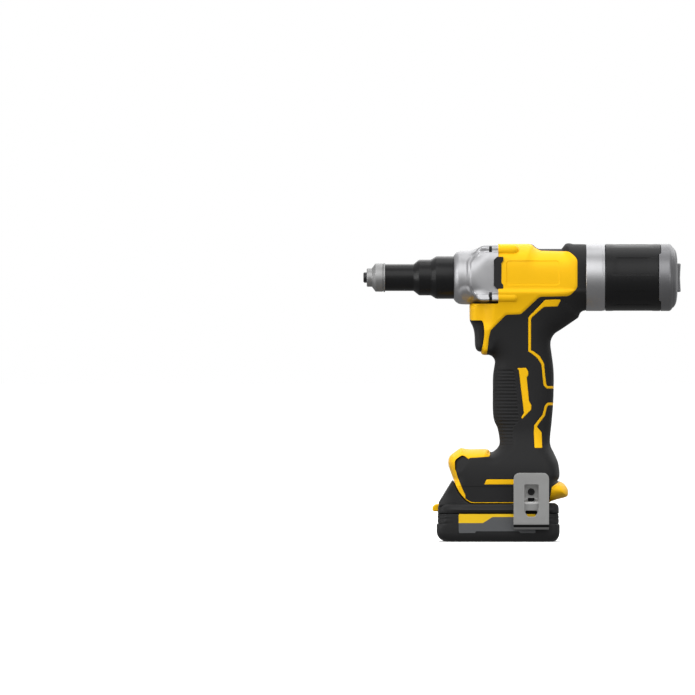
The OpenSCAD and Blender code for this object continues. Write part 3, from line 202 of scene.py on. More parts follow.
# %% [markdown]
# ## A skin that is cut like paper
# A moulded case is a thin shell with crisp borders on it. To get crisp borders without a very
# dense mesh, a flat sheet of triangles is cut exactly along lines: along the outline, along both
# lips of every groove, along every colour border. Each cut puts new points just where the line
# crosses a triangle's edge. Afterwards the flat sheet is lifted into its curved shape, and the
# inside face and the rim walls are added, so each piece is closed like the real moulding.

# %% The skin class
ON_LINE = 1e-4          # a point nearer than this lies on the cut


class Skin:
    def __init__(self, low, high, step):
        nx, nz = [int(math.ceil((h - l) / s)) + 1 for l, h, s in zip(low, high, step)]
        i, k = np.meshgrid(np.arange(nx), np.arange(nz), indexing="ij")
        shift = np.where(k % 2 == 0, 0.0, 0.5)
        x, z = low[0] + (i + shift - 0.5) * step[0], low[1] + k * step[1]
        self.p = np.stack([x, z], 2).reshape(-1, 2)
        a = (i * nz + k)[:-1, :-1].ravel()
        b, c, d = a + nz, a + 1, a + nz + 1
        even = (np.tile(np.arange(nz - 1), nx - 1) % 2 == 0)[:, None]
        one = np.where(even, np.stack([a, b, c], 1), np.stack([a, b, d], 1))
        two = np.where(even, np.stack([b, d, c], 1), np.stack([a, d, c], 1))
        self.t = np.vstack([one, two])

    def cut(self, field, *levels):
        for level in levels:
            v = field(self.p) - level
            v[np.abs(v) < ON_LINE] = 0
            s = np.sign(v)
            e = np.stack([self.t, np.roll(self.t, -1, 1)], 2)
            cross = s[e[..., 0]] * s[e[..., 1]] < 0
            if not cross.any():
                continue
            edges, where = np.unique(np.sort(e[cross], 1), axis=0, return_inverse=True)
            f = (v[edges[:, 0]] / (v[edges[:, 0]] - v[edges[:, 1]]))[:, None]
            new = np.full(cross.shape, -1)
            new[cross] = where.ravel() + len(self.p)
            self.p = np.vstack([self.p, self.p[edges[:, 0]] * (1 - f) + self.p[edges[:, 1]] * f])
            count = cross.sum(1)
            done = [self.t[count == 0]]
            for k in range(3):
                n, t = np.roll(new, -k, 1), np.roll(self.t, -k, 1)
                two = (count == 2) & (n[:, 0] >= 0) & (n[:, 2] >= 0)
                a, b, c, ab, ca = t[two, 0], t[two, 1], t[two, 2], n[two, 0], n[two, 2]
                done += [np.stack(x, 1) for x in ((a, ab, ca), (ab, b, c), (ab, c, ca))]
                one = (count == 1) & (n[:, 1] >= 0)
                a, b, c, bc = t[one, 0], t[one, 1], t[one, 2], n[one, 1]
                done += [np.stack(x, 1) for x in ((a, b, bc), (a, bc, c))]
            self.t = np.vstack(done)
        return self

    def middle(self):
        return self.p[self.t].mean(1)

    def keep(self, mask):
        piece = Skin.__new__(Skin)
        used, index = np.unique(self.t[mask], return_inverse=True)
        piece.p, piece.t = self.p[used], index.reshape(-1, 3)
        return piece

    def rim(self):
        edges = np.vstack([self.t[:, [0, 1]], self.t[:, [1, 2]], self.t[:, [2, 0]]])
        _, first, number = np.unique(np.sort(edges, 1), axis=0, return_index=True, return_counts=True)
        return edges[first[number == 1]]


def cut_out(outline, step, margin=1.0):
    skin = Skin(outline.min(0) - margin, outline.max(0) + margin, step)
    skin.cut(lambda p: signed(p, outline), 0)
    return skin.keep(signed(skin.middle(), outline) < 0)


# %% [markdown]
# ## From arrays to objects
# `mesh` turns points and faces into a Blender object: it merges points that coincide, takes away
# stray flaps, fills pinholes, turns all faces outward and shades smooth except at sharp edges.
# `thicken` closes a skin between two lifted sheets, and `plate` does so for an outline with rolled
# edges. `loft` joins a row of closed rings, which serves for turned pieces and for boxes with
# rounded corners alike. `place` gives a finished piece its material and its body, and hides the CAD
# nodes that it stands for.

# %% Mesh helpers
FLAP_PASSES = 3
SMALL_RIM = 0.01        # fewer open edges than this share are pinholes
THIN_SHARE = 0.25
EDGE_ROLL = np.array([0.02, 0.12, 0.35, 0.65, 1.0])
TURNED_SIDES = 160


def linked(name, data):
    obj = bpy.data.objects.new(name, data)
    scene.collection.objects.link(obj)
    return obj


def evaluated(obj):
    graph = bpy.context.evaluated_depsgraph_get()
    return bpy.data.meshes.new_from_object(obj.evaluated_get(graph), depsgraph=graph)


def is_flap(face):
    return any(e.is_boundary for e in face.edges) and any(len(e.link_faces) > 2 for e in face.edges)


def mesh(name, points, faces, sharp=38.0, merge=0.004):
    data = bpy.data.meshes.new(name)
    data.from_pydata((np.asarray(points) * MM).tolist(), [], [list(map(int, f)) for f in faces])
    bm = bmesh.new()
    bm.from_mesh(data)
    bmesh.ops.remove_doubles(bm, verts=bm.verts, dist=merge * MM)
    bmesh.ops.dissolve_degenerate(bm, edges=bm.edges, dist=THIN_SHARE * merge * MM)
    for _ in range(FLAP_PASSES):
        bmesh.ops.delete(bm, geom=[f for f in bm.faces if is_flap(f)], context="FACES")
    rim = [e for e in bm.edges if e.is_boundary]
    if len(rim) < SMALL_RIM * len(bm.edges):
        bmesh.ops.holes_fill(bm, edges=rim, sides=0)
    bmesh.ops.recalc_face_normals(bm, faces=bm.faces)
    bm.to_mesh(data)
    bm.free()
    data.polygons.foreach_set("use_smooth", [True] * len(data.polygons))
    data.set_sharp_from_angle(angle=math.radians(sharp))
    return linked(name, data)


def joined(parts):
    points, faces, start = [], [], 0
    for p, f in parts:
        points.append(np.asarray(p, float))
        faces += [tuple(i + start for i in face) for face in f]
        start += len(p)
    return np.vstack(points), faces


def thicken(skin, outer, inner):
    count, rim = len(skin.p), skin.rim()
    walls = np.stack([rim[:, 0], rim[:, 0] + count, rim[:, 1] + count, rim[:, 1]], 1)
    faces = [tuple(face) for part in (skin.t, skin.t[:, ::-1] + count, walls) for face in part]
    return np.vstack([outer, inner]), faces


def across(middle):
    return lambda p, off: np.column_stack([p[:, 0], np.broadcast_to(middle + off, len(p)), p[:, 1]])


def plate(outline, lift, half, edge, step, holes=()):
    shape = lambda p: np.max([signed(p, outline)] + [-signed(p, hole) for hole in holes], axis=0)
    skin = Skin(outline.min(0) - 1, outline.max(0) + 1, (step, step))
    for line in (outline, *holes):
        skin.cut(lambda p: signed(p, line), 0)
    skin = skin.keep(shape(skin.middle()) < 0)
    skin.cut(lambda p: -shape(p), *(edge * EDGE_ROLL))
    near = np.clip(1 + shape(skin.p) / edge, 0, 1)
    off = half - edge * (1 - np.sqrt(1 - near ** 2))
    return thicken(skin, lift(skin.p, off), lift(skin.p, -off))


def loft(rings, ends=True):
    rings = [np.asarray(r, float) for r in rings]
    n = len(rings[0])
    points = np.vstack(rings)
    faces = []
    for k in range(len(rings) - 1):
        for i in range(n):
            j = (i + 1) % n
            faces.append((k * n + i, k * n + j, (k + 1) * n + j, (k + 1) * n + i))
    if ends:
        for k, turn in ((0, -1), (len(rings) - 1, 1)):
            points = np.vstack([points, rings[k].mean(0)])
            faces += [(k * n + i, k * n + (i + 1) % n, len(points) - 1)[::turn] for i in range(n)]
    return points, faces


def hoop(x, r, angles):
    return np.stack([np.broadcast_to(x, angles.shape), r * np.sin(angles), axis_z - r * np.cos(angles)], 1)


def turned(profile):
    angles = np.linspace(0, 2 * math.pi, TURNED_SIDES, endpoint=False)
    return loft([hoop(x, r, angles) for x, r in closed(profile)], ends=False)


def place(obj, material, body, slot, *nodes):
    obj.data.materials.clear()
    obj.data.materials.append(material)
    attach(obj, body)
    if nodes:
        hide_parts(*nodes)
    print(obj.name, "faces", len(obj.data.polygons))
    return obj


# %% [markdown]
# ## Shader arithmetic
# A procedural material is a small sum: a base colour, a little noise in it, a little more in the
# roughness, and a fine bump. `Shade` wraps a node socket so such a sum can be written with plain
# operators; each operator adds one Math node.

# %% The shader wrapper
class Shade:
    def __init__(self, tree, socket):
        self.tree, self.socket = tree, socket

    def node(self, kind, settings, inputs, output):
        n = self.tree.nodes.new(kind)
        for key, value in settings.items():
            setattr(n, key, value)
        for key, value in inputs.items():
            if isinstance(value, Shade):
                self.tree.links.new(value.socket, n.inputs[key])
            else:
                n.inputs[key].default_value = value
        return Shade(self.tree, n.outputs[output])

    def math(self, operation, other, swap=False):
        one, two = (other, self) if swap else (self, other)
        return self.node("ShaderNodeMath", {"operation": operation}, {0: one, 1: two}, 0)

    def __add__(self, o):
        return self.math("ADD", o)

    def __radd__(self, o):
        return self.math("ADD", o, True)

    def __sub__(self, o):
        return self.math("SUBTRACT", o)

    def __rsub__(self, o):
        return self.math("SUBTRACT", o, True)

    def __mul__(self, o):
        return self.math("MULTIPLY", o)

    def __rmul__(self, o):
        return self.math("MULTIPLY", o, True)

    def ramp(self, low, high):
        return self.node("ShaderNodeMapRange", {"interpolation_type": "SMOOTHSTEP"},
                         {"Value": self, "From Min": low, "From Max": high}, "Result")

    def noise(self, scale, detail=3.0, rough=0.55):
        return self.node("ShaderNodeTexNoise", {}, {"Vector": self, "Scale": scale, "Detail": detail,
                                                    "Roughness": rough}, 0)

    def stretch(self, x, y, z):
        return self.node("ShaderNodeMapping", {}, {"Vector": self, "Scale": (x, y, z)}, 0)

    def part(self, axis):
        return self.node("ShaderNodeSeparateXYZ", {}, {0: self}, axis)

    def blend(self, one, two):
        n = self.tree.nodes.new("ShaderNodeMix")
        n.data_type = "RGBA"
        self.tree.links.new(self.socket, n.inputs[0])
        for index, colour in ((6, one), (7, two)):
            if isinstance(colour, Shade):
                self.tree.links.new(colour.socket, n.inputs[index])
            else:
                n.inputs[index].default_value = (*colour, 1.0)
        return Shade(self.tree, n.outputs[2])


def material(name, recipe, metallic=0.0, coat=0.0, specular=0.5):
    mat = bpy.data.materials.new(name)
    mat.use_nodes = True
    tree = mat.node_tree
    bsdf = tree.nodes["Principled BSDF"]
    bsdf.inputs["Metallic"].default_value = metallic
    bsdf.inputs["Coat Weight"].default_value = coat
    bsdf.inputs["Specular IOR Level"].default_value = specular
    made = recipe(Shade(tree, tree.nodes.new("ShaderNodeTexCoord").outputs["Object"]))
    tree.links.new(made["colour"].socket, bsdf.inputs["Base Color"])
    tree.links.new(made["rough"].socket, bsdf.inputs["Roughness"])
    if "bump" in made:
        bump = tree.nodes.new("ShaderNodeBump")
        bump.inputs["Strength"].default_value = made["strength"]
        bump.inputs["Distance"].default_value = made["depth"]
        tree.links.new(made["bump"].socket, bump.inputs["Height"])
        tree.links.new(bump.outputs[0], bsdf.inputs["Normal"])
    return mat


# %% [markdown]
# ## Materials
# The case is glass-filled nylon with a fine spark-eroded grain, the grip is a soft elastomer, the
# nose end is blasted aluminium and the nose tubes are blackened steel. Moulded plastic needs three
# things to look real: a grain too fine to see singly, slow changes of gloss where hands and the
# mould have polished it, and almost no change of colour.

# %% Material recipes
# How often the slow patches change, the darkest and lightest tone, and the smaller share of gloss.
PLASTIC_PATCH, PLASTIC_TONES, PLASTIC_FINE, PLASTIC_BUMP = 26.0, (0.90, 1.06), 0.06, 0.35
METAL_PATCH, METAL_TONES, METAL_SLOW = 40.0, (0.82, 1.08), 0.05


def shades(colour, low, high):
    return [tuple(min(1.0, c * k) for c in colour) for k in (low, high)]


def plastic(colour, rough, grain=2600.0, depth=0.00005, swing=0.08):
    def recipe(at):
        slow, fine = at.noise(PLASTIC_PATCH), at.noise(grain, 2.0)
        return {"colour": (slow * 0.75 + fine * 0.25).blend(*shades(colour, *PLASTIC_TONES)),
                "rough": rough - swing / 2 + slow * swing + fine * PLASTIC_FINE,
                "bump": fine, "strength": PLASTIC_BUMP, "depth": depth}
    return recipe


def metal(colour, rough, stretch=(1.0, 1.0, 1.0), grain=1500.0, swing=0.16, depth=0.00003, strength=0.4):
    def recipe(at):
        slow, fine = at.noise(METAL_PATCH), at.stretch(*stretch).noise(grain, 4.0, 0.6)
        return {"colour": (slow * 0.5 + fine * 0.5).blend(*shades(colour, *METAL_TONES)),
                "rough": rough - swing / 2 + fine * swing + slow * METAL_SLOW,
                "bump": fine, "strength": strength, "depth": depth}
    return recipe


BRUSHED = (1.0, 0.2, 0.2)           # turned marks run round the axis
# Heights in millimetres of a painted shade band on the belt hook's bottom bend, and how softly it fades in
# and out.
BEND_SHADE_LOW, BEND_SHADE_HIGH, BEND_SHADE_SOFT = 13.4, 16.6, 0.6


def hook_recipe_with_painted_shade(at):
    made = metal((0.37, 0.37, 0.365), 0.42, (0.06, 1.0, 1.0), 1800.0, strength=0.2)(at)
    height = at.part(2)
    above = height.ramp(BEND_SHADE_LOW * MM, (BEND_SHADE_LOW + BEND_SHADE_SOFT) * MM)
    beyond = height.ramp((BEND_SHADE_HIGH - BEND_SHADE_SOFT) * MM, BEND_SHADE_HIGH * MM)
    # Painted shade: between those heights the hook's colour turns almost black, standing in for the dark
    # reflection on the curved bend.
    made["colour"] = (above * (1.0 - beyond)).blend(made["colour"], (0.02, 0.02, 0.02))
    return made


def moulded(name, colour, *texture, **finish):
    return material(name, plastic(colour, *texture), **finish)


def steel(name, colour, rough, metallic=1.0, specular=0.5, **texture):
    return material(name, metal(colour, rough, **texture), metallic=metallic, specular=specular)


fine_turned = {"stretch": BRUSHED, "grain": 260.0, "depth": 0.000002, "strength": 0.05}
yellow_nylon = moulded("yellow_nylon", (0.86, 0.475, 0.004), 0.46, specular=0.12)
grip_rubber = moulded("grip_rubber", (0.012, 0.012, 0.0125), 0.62, 1900.0, 0.00009, specular=0.22)
black_nylon = moulded("black_nylon", (0.015, 0.015, 0.0155), 0.48, 2200.0, specular=0.22)
black_canister = moulded("black_canister", (0.007, 0.007, 0.0075), 0.34, 2400.0, specular=0.2)
label_grey = moulded("label_grey", (0.085, 0.088, 0.092), 0.4, 1200.0, specular=0.3)
label_gold = moulded("label_gold", (0.80, 0.50, 0.006), 0.38, 1200.0, specular=0.3)
grey_nylon = moulded("grey_nylon", (0.16, 0.16, 0.165), 0.5)
seal_rubber = moulded("seal_rubber", (0.018, 0.018, 0.018), 0.7)
lamp_clear = moulded("lamp_clear", (0.75, 0.78, 0.80), 0.16, 900.0, coat=0.5)
board_green = moulded("board_green", (0.02, 0.14, 0.06), 0.4, 1500.0, coat=0.3)
cell_film = moulded("cell_film", (0.05, 0.16, 0.36), 0.35)
cast_alloy = steel("cast_alloy", (0.42, 0.42, 0.43), 0.44, grain=2200.0, depth=0.00006)
satin_alloy = steel("satin_alloy", (0.40, 0.40, 0.41), 0.38, stretch=BRUSHED, grain=1600.0, swing=0.12,
                    depth=0.00001, strength=0.15)
grey_cap_alloy = steel("grey_cap_alloy", (0.19, 0.19, 0.197), 0.38, 0.85, grain=2300.0)
bright_steel = steel("bright_steel", (0.33, 0.33, 0.33), 0.50, swing=0.06, **fine_turned)
dark_tip = steel("dark_tip", (0.03, 0.03, 0.032), 0.30, 0.7, strength=0.05)
black_oxide = steel("black_oxide", (0.008, 0.008, 0.0085), 0.28, 0.0, 0.2, swing=0.05, **fine_turned)
tool_steel = steel("tool_steel", (0.45, 0.45, 0.46), 0.34)
dark_screw = steel("dark_screw", (0.06, 0.06, 0.065), 0.38, 0.9)
brass_metal = steel("brass_metal", (0.72, 0.50, 0.20), 0.32)
copper_wire = steel("copper_wire", (0.72, 0.33, 0.18), 0.36, stretch=(0.1, 1.0, 0.1))
hook_steel = material("hook_steel", hook_recipe_with_painted_shade, metallic=1.0)
print("materials", len(bpy.data.materials))

# %% [markdown]
# ## The inner pieces
# Gears, bearings, the ball screw, the motor and the electronics keep their CAD shape, because it is
# already the true one. They only need the right material, picked by the material slot that the
# CAD record gives each node.

# %% Materials for the CAD nodes
SLOT_MATERIALS = {"bright_steel": bright_steel, "cast_alloy": cast_alloy, "black_steel": black_oxide,
                  "yellow_shell": yellow_nylon, "black_grip": grip_rubber, "black_plastic": black_nylon,
                  "grey_plastic": grey_nylon, "tool_steel": tool_steel, "dark_screw": dark_screw,
                  "hook_steel": hook_steel, "brass": brass_metal, "copper": copper_wire,
                  "seal_rubber": seal_rubber, "lamp": lamp_clear, "board": board_green,
                  "cell_film": cell_film, "label_grey": grey_nylon}
BLACKENED = ("gearcase_screws", "hook_screw")
slot_of_node = {entry["node"]: entry["material_slot"] for entry in frame["record"]["subparts"]}
for name, obj in frame["nodes"].items():
    slot = "black_steel" if name in BLACKENED else slot_of_node.get(name)
    obj.data.materials.clear()
    obj.data.materials.append(SLOT_MATERIALS.get(slot, black_nylon))
print("nodes with a slot:", len(slot_of_node))

# %% [markdown]
# ## The case's outline
# The real case is two moulded halves that meet on the middle plane. Seen square from the side its
# outline is a chain of gentle curves and a few straight edges, so it is drawn as short splines.
# Where the case rolls over to the middle plane the outline is called free; where it butts against
# the gearcase, the collector's ring, the battery or the trigger it is not, and stays square there.

# %% Outline of the case
top_line = traced(np.vstack([
    [(498, 243.9)],
    spline([(529, 243.9), (532.6, 244.7), (535.6, 247.2), (538.4, 248.7), (541, 248.9)]),
    spline([(561.6, 248.9), (563.6, 246.2), (565.6, 243.9), (568, 243.25), (570.6, 243.4), (572.6, 244.1)]),
    [(585.68, 244.2)]]))
back_line = traced(np.vstack([
    spline([(585.68, 310.6), (582.4, 311.2), (579.9, 313.6), (578.4, 317.6)])[:-1],
    spline([(578.4, 317.6), (570, 323.4), (561, 329.5), (554.6, 333.8), (551.2, 339.4), (550.5, 345),
            (551.4, 352.5), (552.6, 361), (553.6, 371), (553.8, 383), (553.3, 402), (551.7, 422),
            (550.2, 436), (550.4, 445), (554.4, 454), (557.7, 461.5), (559.3, 470), (559.3, 476.8),
            (557.6, 480.4)]),
    spline([(558.6, 481.4), (561, 481.9), (564.4, 484.2), (567.4, 488.8), (568.1, 493.4), (566.3, 496.8),
            (557, 499.4), (550.2, 501.6)]),
    [(549.6, 502.5)]]))
toe_line = traced(spline([
    (472.6, 502.5), (470, 501.9), (467, 500.2), (464.6, 498.2), (459.8, 492.6), (456.4, 486.6),
    (453.6, 479.6)]))
front_line = traced(np.vstack([
    spline([(453.2, 478.6), (450.6, 471.6), (448.5, 465.2), (448.2, 460.8), (450.2, 455.8), (455.4, 451.6),
            (460, 448.4), (462, 447.9)]),
    spline([(464.6, 448.7), (470, 449.2), (486.6, 449.2), (489.4, 451.4), (491.6, 452), (494.4, 450.6),
            (498, 447), (499.6, 441.6), (497.7, 429), (494.2, 420.6), (492.8, 411), (492.7, 392),
            (493, 376), (494.2, 367), (494.9, 362), (494, 358.8), (491.8, 356.2), (488.6, 354.9),
            (485.2, 355), (482.4, 354.6), (481.2, 353.2)])]))
strip_line = traced(spline([
    (481, 352.6), (481.7, 349.4), (483.1, 342.8), (484, 336), (484.1, 331), (483.6, 325), (482.6, 321.8),
    (481.4, 320.4)]))
chin_line = traced(fillet([(469.6, 320.4), (469.4, 304.4), (471, 303.8)], (0, 1.6, 0), closed=False))
joint_foot = traced([(498, 303.8)])
case_outline = np.vstack([top_line, back_line, toe_line, front_line, strip_line, chin_line, joint_foot])
free_lines = (top_line, back_line, front_line, chin_line)
square_lines = (np.vstack([top_line[-1:], back_line[:1]]),
                np.vstack([back_line[-1:], toe_line, front_line[:1]]),
                np.vstack([front_line[-1:], strip_line, chin_line[:1]]),
                np.vstack([chin_line[-1:], joint_foot, top_line[:1]]))
print("case outline points", len(case_outline), "low and high", case_outline[:, 1].min().round(1),
      case_outline[:, 1].max().round(1))

# %% [markdown]
# ## Colour borders
# The yellow case shows through the black overmould in a side panel, two accent lines, a tag, a
# strip along the foot and two bumpers. Each is an outline on the side view. A painted mask would
# blur when seen close, so the skin is cut along these outlines. A shallow groove runs along every
# border, where the two shots of plastic meet in the mould.

# %% Zone outlines
def rounded(corners):
    corners = np.array(corners, float)
    return fillet(traced(corners[:, :2]), corners[:, 2])


# Each corner of a rounded outline: its place in the photo and its radius in millimetres.
panel = rounded([
    (483, 360, 0), (486.6, 355.6, 1), (488.6, 338, 12), (490.4, 330.4, 5), (505.8, 314.9, 5),
    (520.5, 314.4, 5), (539.1, 297, 5), (569, 296.3, 8), (577, 288, 7), (577, 259, 7),
    (569, 251.5, 8), (540, 250.7, 6), (535.6, 248, 5), (530, 243.6, 2), (528, 236, 0),
    (452, 236, 0), (452, 334, 0), (476, 334, 0), (476, 360, 0)])
upper_line = rounded([
    (544.8, 299.9, 1), (561, 299.5, 1), (557, 306.6, 1), (543.6, 306.9, 4), (530.7, 318.2, 4),
    (530.7, 350.8, 2), (532.6, 351, 2), (539.4, 356, 4), (543.8, 363.4, 4), (545, 376.3, 6),
    (546, 384, 2), (547.2, 386, 1), (556, 386, 0), (556, 388.6, 0), (546.4, 388.6, 2),
    (543.4, 385.4, 3), (542.3, 376.5, 6), (541.2, 364.6, 4), (537, 358, 4), (531, 353.3, 2),
    (528, 351.5, 2), (528, 317.4, 3)])
lower_line = rounded([
    (556, 402.6, 0), (547.2, 402.6, 2), (544.6, 405.6, 2), (542.4, 414.6, 2), (538.4, 419.4, 2),
    (533.9, 425.3, 2), (533.5, 432.4, 2), (534.2, 447.8, 1), (542, 447.8, 1), (541.5, 432.4, 3),
    (536.6, 426.6, 1), (540.6, 421, 2), (544.8, 415.6, 2), (546.8, 407, 2), (548.2, 405.2, 1),
    (556, 405.2, 0)])
tag = fillet(traced([
    (516.5, 368.2), (525.7, 367.7), (528, 371.2), (528, 375.3), (526.5, 377.3), (528.8, 400.8),
    (531, 404.9), (531, 409.5), (521.6, 419.2), (521.1, 417.1), (523.7, 413), (518.6, 370.2)]), 0.8)
foot_line = fillet(traced([(486.3, 479.1), (516, 479.1), (516, 484.2), (483.8, 484.2)]), 0.7)
front_trim = rounded([
    (461.4, 447, 0), (468.3, 448, 0), (486, 448, 0), (489.9, 449, 3.4), (489.9, 456.2, 3.4),
    (486, 456.7, 0), (470.3, 457.6, 1), (468, 458.6, 1), (462.1, 454.9, 3), (454.8, 460.2, 3),
    (455, 468.6, 6), (457.6, 477.6, 8), (463, 490.4, 6), (465, 494.4, 2), (465.3, 500, 0),
    (452, 497, 0), (440, 470, 0), (444, 446, 0)])
rear_bumper = rounded([
    (551.4, 486.6, 1), (558.9, 481.4, 0), (562, 479, 0), (576, 484, 0), (576, 500, 0),
    (560, 503.6, 0), (548.8, 501.8, 1)])
sole_line = traced([
    (464.7, 497.7), (467.2, 499.7), (470.2, 501.4), (472.8, 502), (552, 502), (552, 506),
    (462, 506), (462, 499)])
yellow_zones = (panel, upper_line, lower_line, tag, foot_line, front_trim, rear_bumper, sole_line)
side_recess = fillet(traced([(506, 261), (559, 261), (559, 285), (506, 285)]), 3)
rib_panel = fillet(traced([
    (480, 369.4), (513, 369.4), (515, 378), (518.6, 421.2), (513, 426.8), (512, 447.8),
    (480, 447.8)]), 2)
seam_line = traced([(562.5, 300.5), (576.6, 311.3), (579, 314)])
facet = traced([(450, 458), (462.1, 451), (469.9, 460.4), (459.8, 473.6), (450, 470)])
facet_edge = facet[2:4]
facet_foot = facet[3:5]
foot_step_z = traced([(466, 486.2)])[0, 1]


def yellow(p):
    return np.min([signed(p, zone) for zone in yellow_zones], axis=0)


# %% [markdown]
# ## How wide the case is
# From the front the case is wide at the barrel and the foot and narrow at the handle. Its half
# width at a point is a flat middle that rolls over toward the free outline, along a curve between
# a circle and a square. It could be sculpted, but a formula gives both halves the same width at the
# seam. Each table below gives one value against height.

# %% Width of the case
WIDTH = [(290, 31.8), (240, 31.8), (232, 29.0), (222, 25.6), (210, 23.2), (195, 21.8), (175, 20.5),
         (150, 19.5), (104, 19.6), (94, 22.0), (86, 26.5), (78, 30.0), (70, 32.3), (60, 33.4), (30, 33.4)]
ROUND = [(290, 31.8), (240, 31.8), (220, 26.0), (195, 22.0), (110, 22.0), (92, 18.0), (80, 13.0),
         (60, 11.0), (30, 10.0)]
CHIN_HALF, CHIN_ROUND = 17.2, 6.5
CHIN_ALONG, CHIN_RISE, CHIN_FALL = (-3.0, -15.0), (200.0, 208.0), (250.0, 232.0)
STRIP_ALONG, STRIP_RISE, STRIP_FALL = (0.0, -8.0), (172.0, 176.0), (214.0, 206.0)
ROUND_POWER, SQUARER, POWER_RUN = 2.0, 0.5, (240.0, 200.0)
FLAT_HALF, FLAT_FROM, FLAT_RUN, FLAT_OPEN = 28.5, 225.0, (240.0, 226.0), 40.0
NO_FLAT, FLAT_POWER = 90.0, 14.0
THINNEST = 1e-6
SLOT_HALF = 12.35


def half_width(p):
    x, z = p.T
    w, r = eased(z, WIDTH), eased(z, ROUND)
    chin = smooth(*CHIN_ALONG, x) * smooth(*CHIN_RISE, z) * smooth(*CHIN_FALL, z)
    strip = smooth(*STRIP_ALONG, x) * smooth(*STRIP_RISE, z) * smooth(*STRIP_FALL, z)
    w = w + (CHIN_HALF - w) * chin
    r = r + (CHIN_ROUND - r) * np.maximum(chin, strip)
    power = ROUND_POWER + SQUARER * smooth(*POWER_RUN, z)
    roll = 1 - np.clip(1 - nearest(p, free_lines) / r, 0, 1) ** power
    h = np.maximum(w * roll ** (1 / power), THINNEST)
    flat = np.where(z > FLAT_FROM, FLAT_HALF + FLAT_OPEN * smooth(*FLAT_RUN, z), NO_FLAT)
    return (h ** -FLAT_POWER + flat ** -FLAT_POWER) ** (-1 / FLAT_POWER)


# %% [markdown]
# ## Relief on the case
# On top of the rolled shape sit the small things that make it read as a moulding: the grooves
# along the borders, a shallow recess in the side panel, the bosses over the gearcase screws, the
# ribs where the fingers go, and the step lines of the foot. A bump in the material could show them
# too, but only from afar; as heights added to the skin they are in the mesh as well.

# %% Relief
GROOVE_HALF, GROOVE_DEPTH = 0.42, 0.40
SEAM_GROOVE = 0.45
RECESS_DEPTH, RECESS_EDGE = 0.6, 0.25
PANEL_PROUD, PANEL_LEVELS = 0.6, (-2.4, -1.6, -0.9)
RIB_PITCH, RIB_DEPTH, RIB_BASE = 3.2, 0.5, 0.25
RIB_EDGE, RIB_SQUARE = (0.2, -0.3), 1.6
FACET_SLOPE, FACET_FADE = 0.3, 4.0
STEP_DEPTH, STEP_EDGE = 0.35, 0.3
ON_BORDER = 0.01
THIN_FADE = 1.6         # relief dies out where the case is thinner than this
BOSS_R, BOSS_START, BOSS_LONG = 5.0, -0.5, 14.5
BOSS_PLACES = ((19.1, 25.9), (25.9, -18.8))


def bosses(p):
    x, z = p.T
    tall = []
    for y_mid, up in BOSS_PLACES:
        r = np.sqrt(np.maximum(BOSS_R ** 2 - np.maximum(x - BOSS_LONG, 0) ** 2, 0))
        rise = r ** 2 - (z - axis_z - up) ** 2
        there = (rise > 0) & (x > BOSS_START)
        tall.append(np.where(there, y_mid + np.sqrt(np.maximum(rise, 0)), 0.0))
    return np.max(tall, axis=0)


def groove(d, half=GROOVE_HALF, depth=GROOVE_DEPTH):
    return depth * np.clip(1 - np.abs(d) / half, 0, 1)


def relief(p, h):
    z = p[:, 1]
    out = -groove(yellow(p))
    out -= RECESS_DEPTH * smooth(RECESS_EDGE, -RECESS_EDGE, signed(p, side_recess))
    out += PANEL_PROUD * smooth(0.0, PANEL_LEVELS[0], signed(p, panel))
    ribs = smooth(*RIB_EDGE, signed(p, rib_panel))
    wave = np.clip(RIB_SQUARE * np.cos(2 * math.pi * z / RIB_PITCH), -1, 1)
    out -= ribs * (RIB_BASE + RIB_DEPTH * (0.5 - 0.5 * wave))
    out -= groove(distance(p, seam_line), SEAM_GROOVE, SEAM_GROOVE)
    fade = smooth(0.0, FACET_FADE, distance(p, facet_foot)) * (signed(p, facet) < 0)
    out -= FACET_SLOPE * distance(p, facet_edge) * fade * (yellow(p) > -ON_BORDER)
    out -= STEP_DEPTH * smooth(foot_step_z + STEP_EDGE, foot_step_z - STEP_EDGE, z)
    return np.maximum(h + out * smooth(0.0, THIN_FADE, h), bosses(p))


# %% [markdown]
# ## Where the case screws go
# Seven screws clamp the two halves, with their heads sunk into wells in the right half. The wells
# have to be known before the case is cut, so the places are read here from the CAD screws: each
# loose part of that node is one screw, and its box tells where it stands.

# %% Screw places and wells
WELL_R, WELL_WALL, WELL_COLLAR = 4.1, 0.1, 0.9
HEAD_LONG, HEAD_SINK, SINK_MOST = 2.6, 0.3, 2.0
FLOOR_WALL = 1.0
SCREW_LEAST = 5.0       # narrower loose parts are not screws
RIM_POINTS = 24
YELLOW_DEEP = 3.0       # a well nearer to the border than this gets a black collar


def islands(node):
    bm = bmesh.new()
    bm.from_mesh(frame["nodes"][node].data)
    bmesh.ops.remove_doubles(bm, verts=bm.verts, dist=0.001 * MM)
    left, boxes = set(bm.verts), []
    while left:
        stack, found = [left.pop()], []
        while stack:
            vert = stack.pop()
            found.append(np.array(vert.co) / MM)
            near = {edge.other_vert(vert) for edge in vert.link_edges} & left
            left -= near
            stack += near
        boxes.append((np.min(found, axis=0), np.max(found, axis=0)))
    bm.free()
    return sorted(boxes, key=lambda b: tuple(b[0]))


screw_boxes = [(low, high) for low, high in islands("housing_screws") if high[0] - low[0] > SCREW_LEAST]
screw_spots = np.array([((low[0] + high[0]) / 2, high[1], (low[2] + high[2]) / 2)
                        for low, high in screw_boxes])
rim_turn = np.linspace(0, 2 * math.pi, RIM_POINTS, endpoint=False)
for spot in screw_spots:
    ring = spot[[0, 2]] + WELL_R * np.column_stack([np.cos(rim_turn), np.sin(rim_turn)])
    skin_y = relief(ring, half_width(ring)).min()
    spot[1] -= np.clip(spot[1] + HEAD_SINK - skin_y, 0, SINK_MOST)
print("case screws", len(screw_spots), screw_spots.round(1).tolist())


def from_wells(p):
    away = np.hypot(p[:, :1] - screw_spots[:, 0], p[:, 1:] - screw_spots[:, 2])
    return away.min(1) - WELL_R, away.argmin(1)


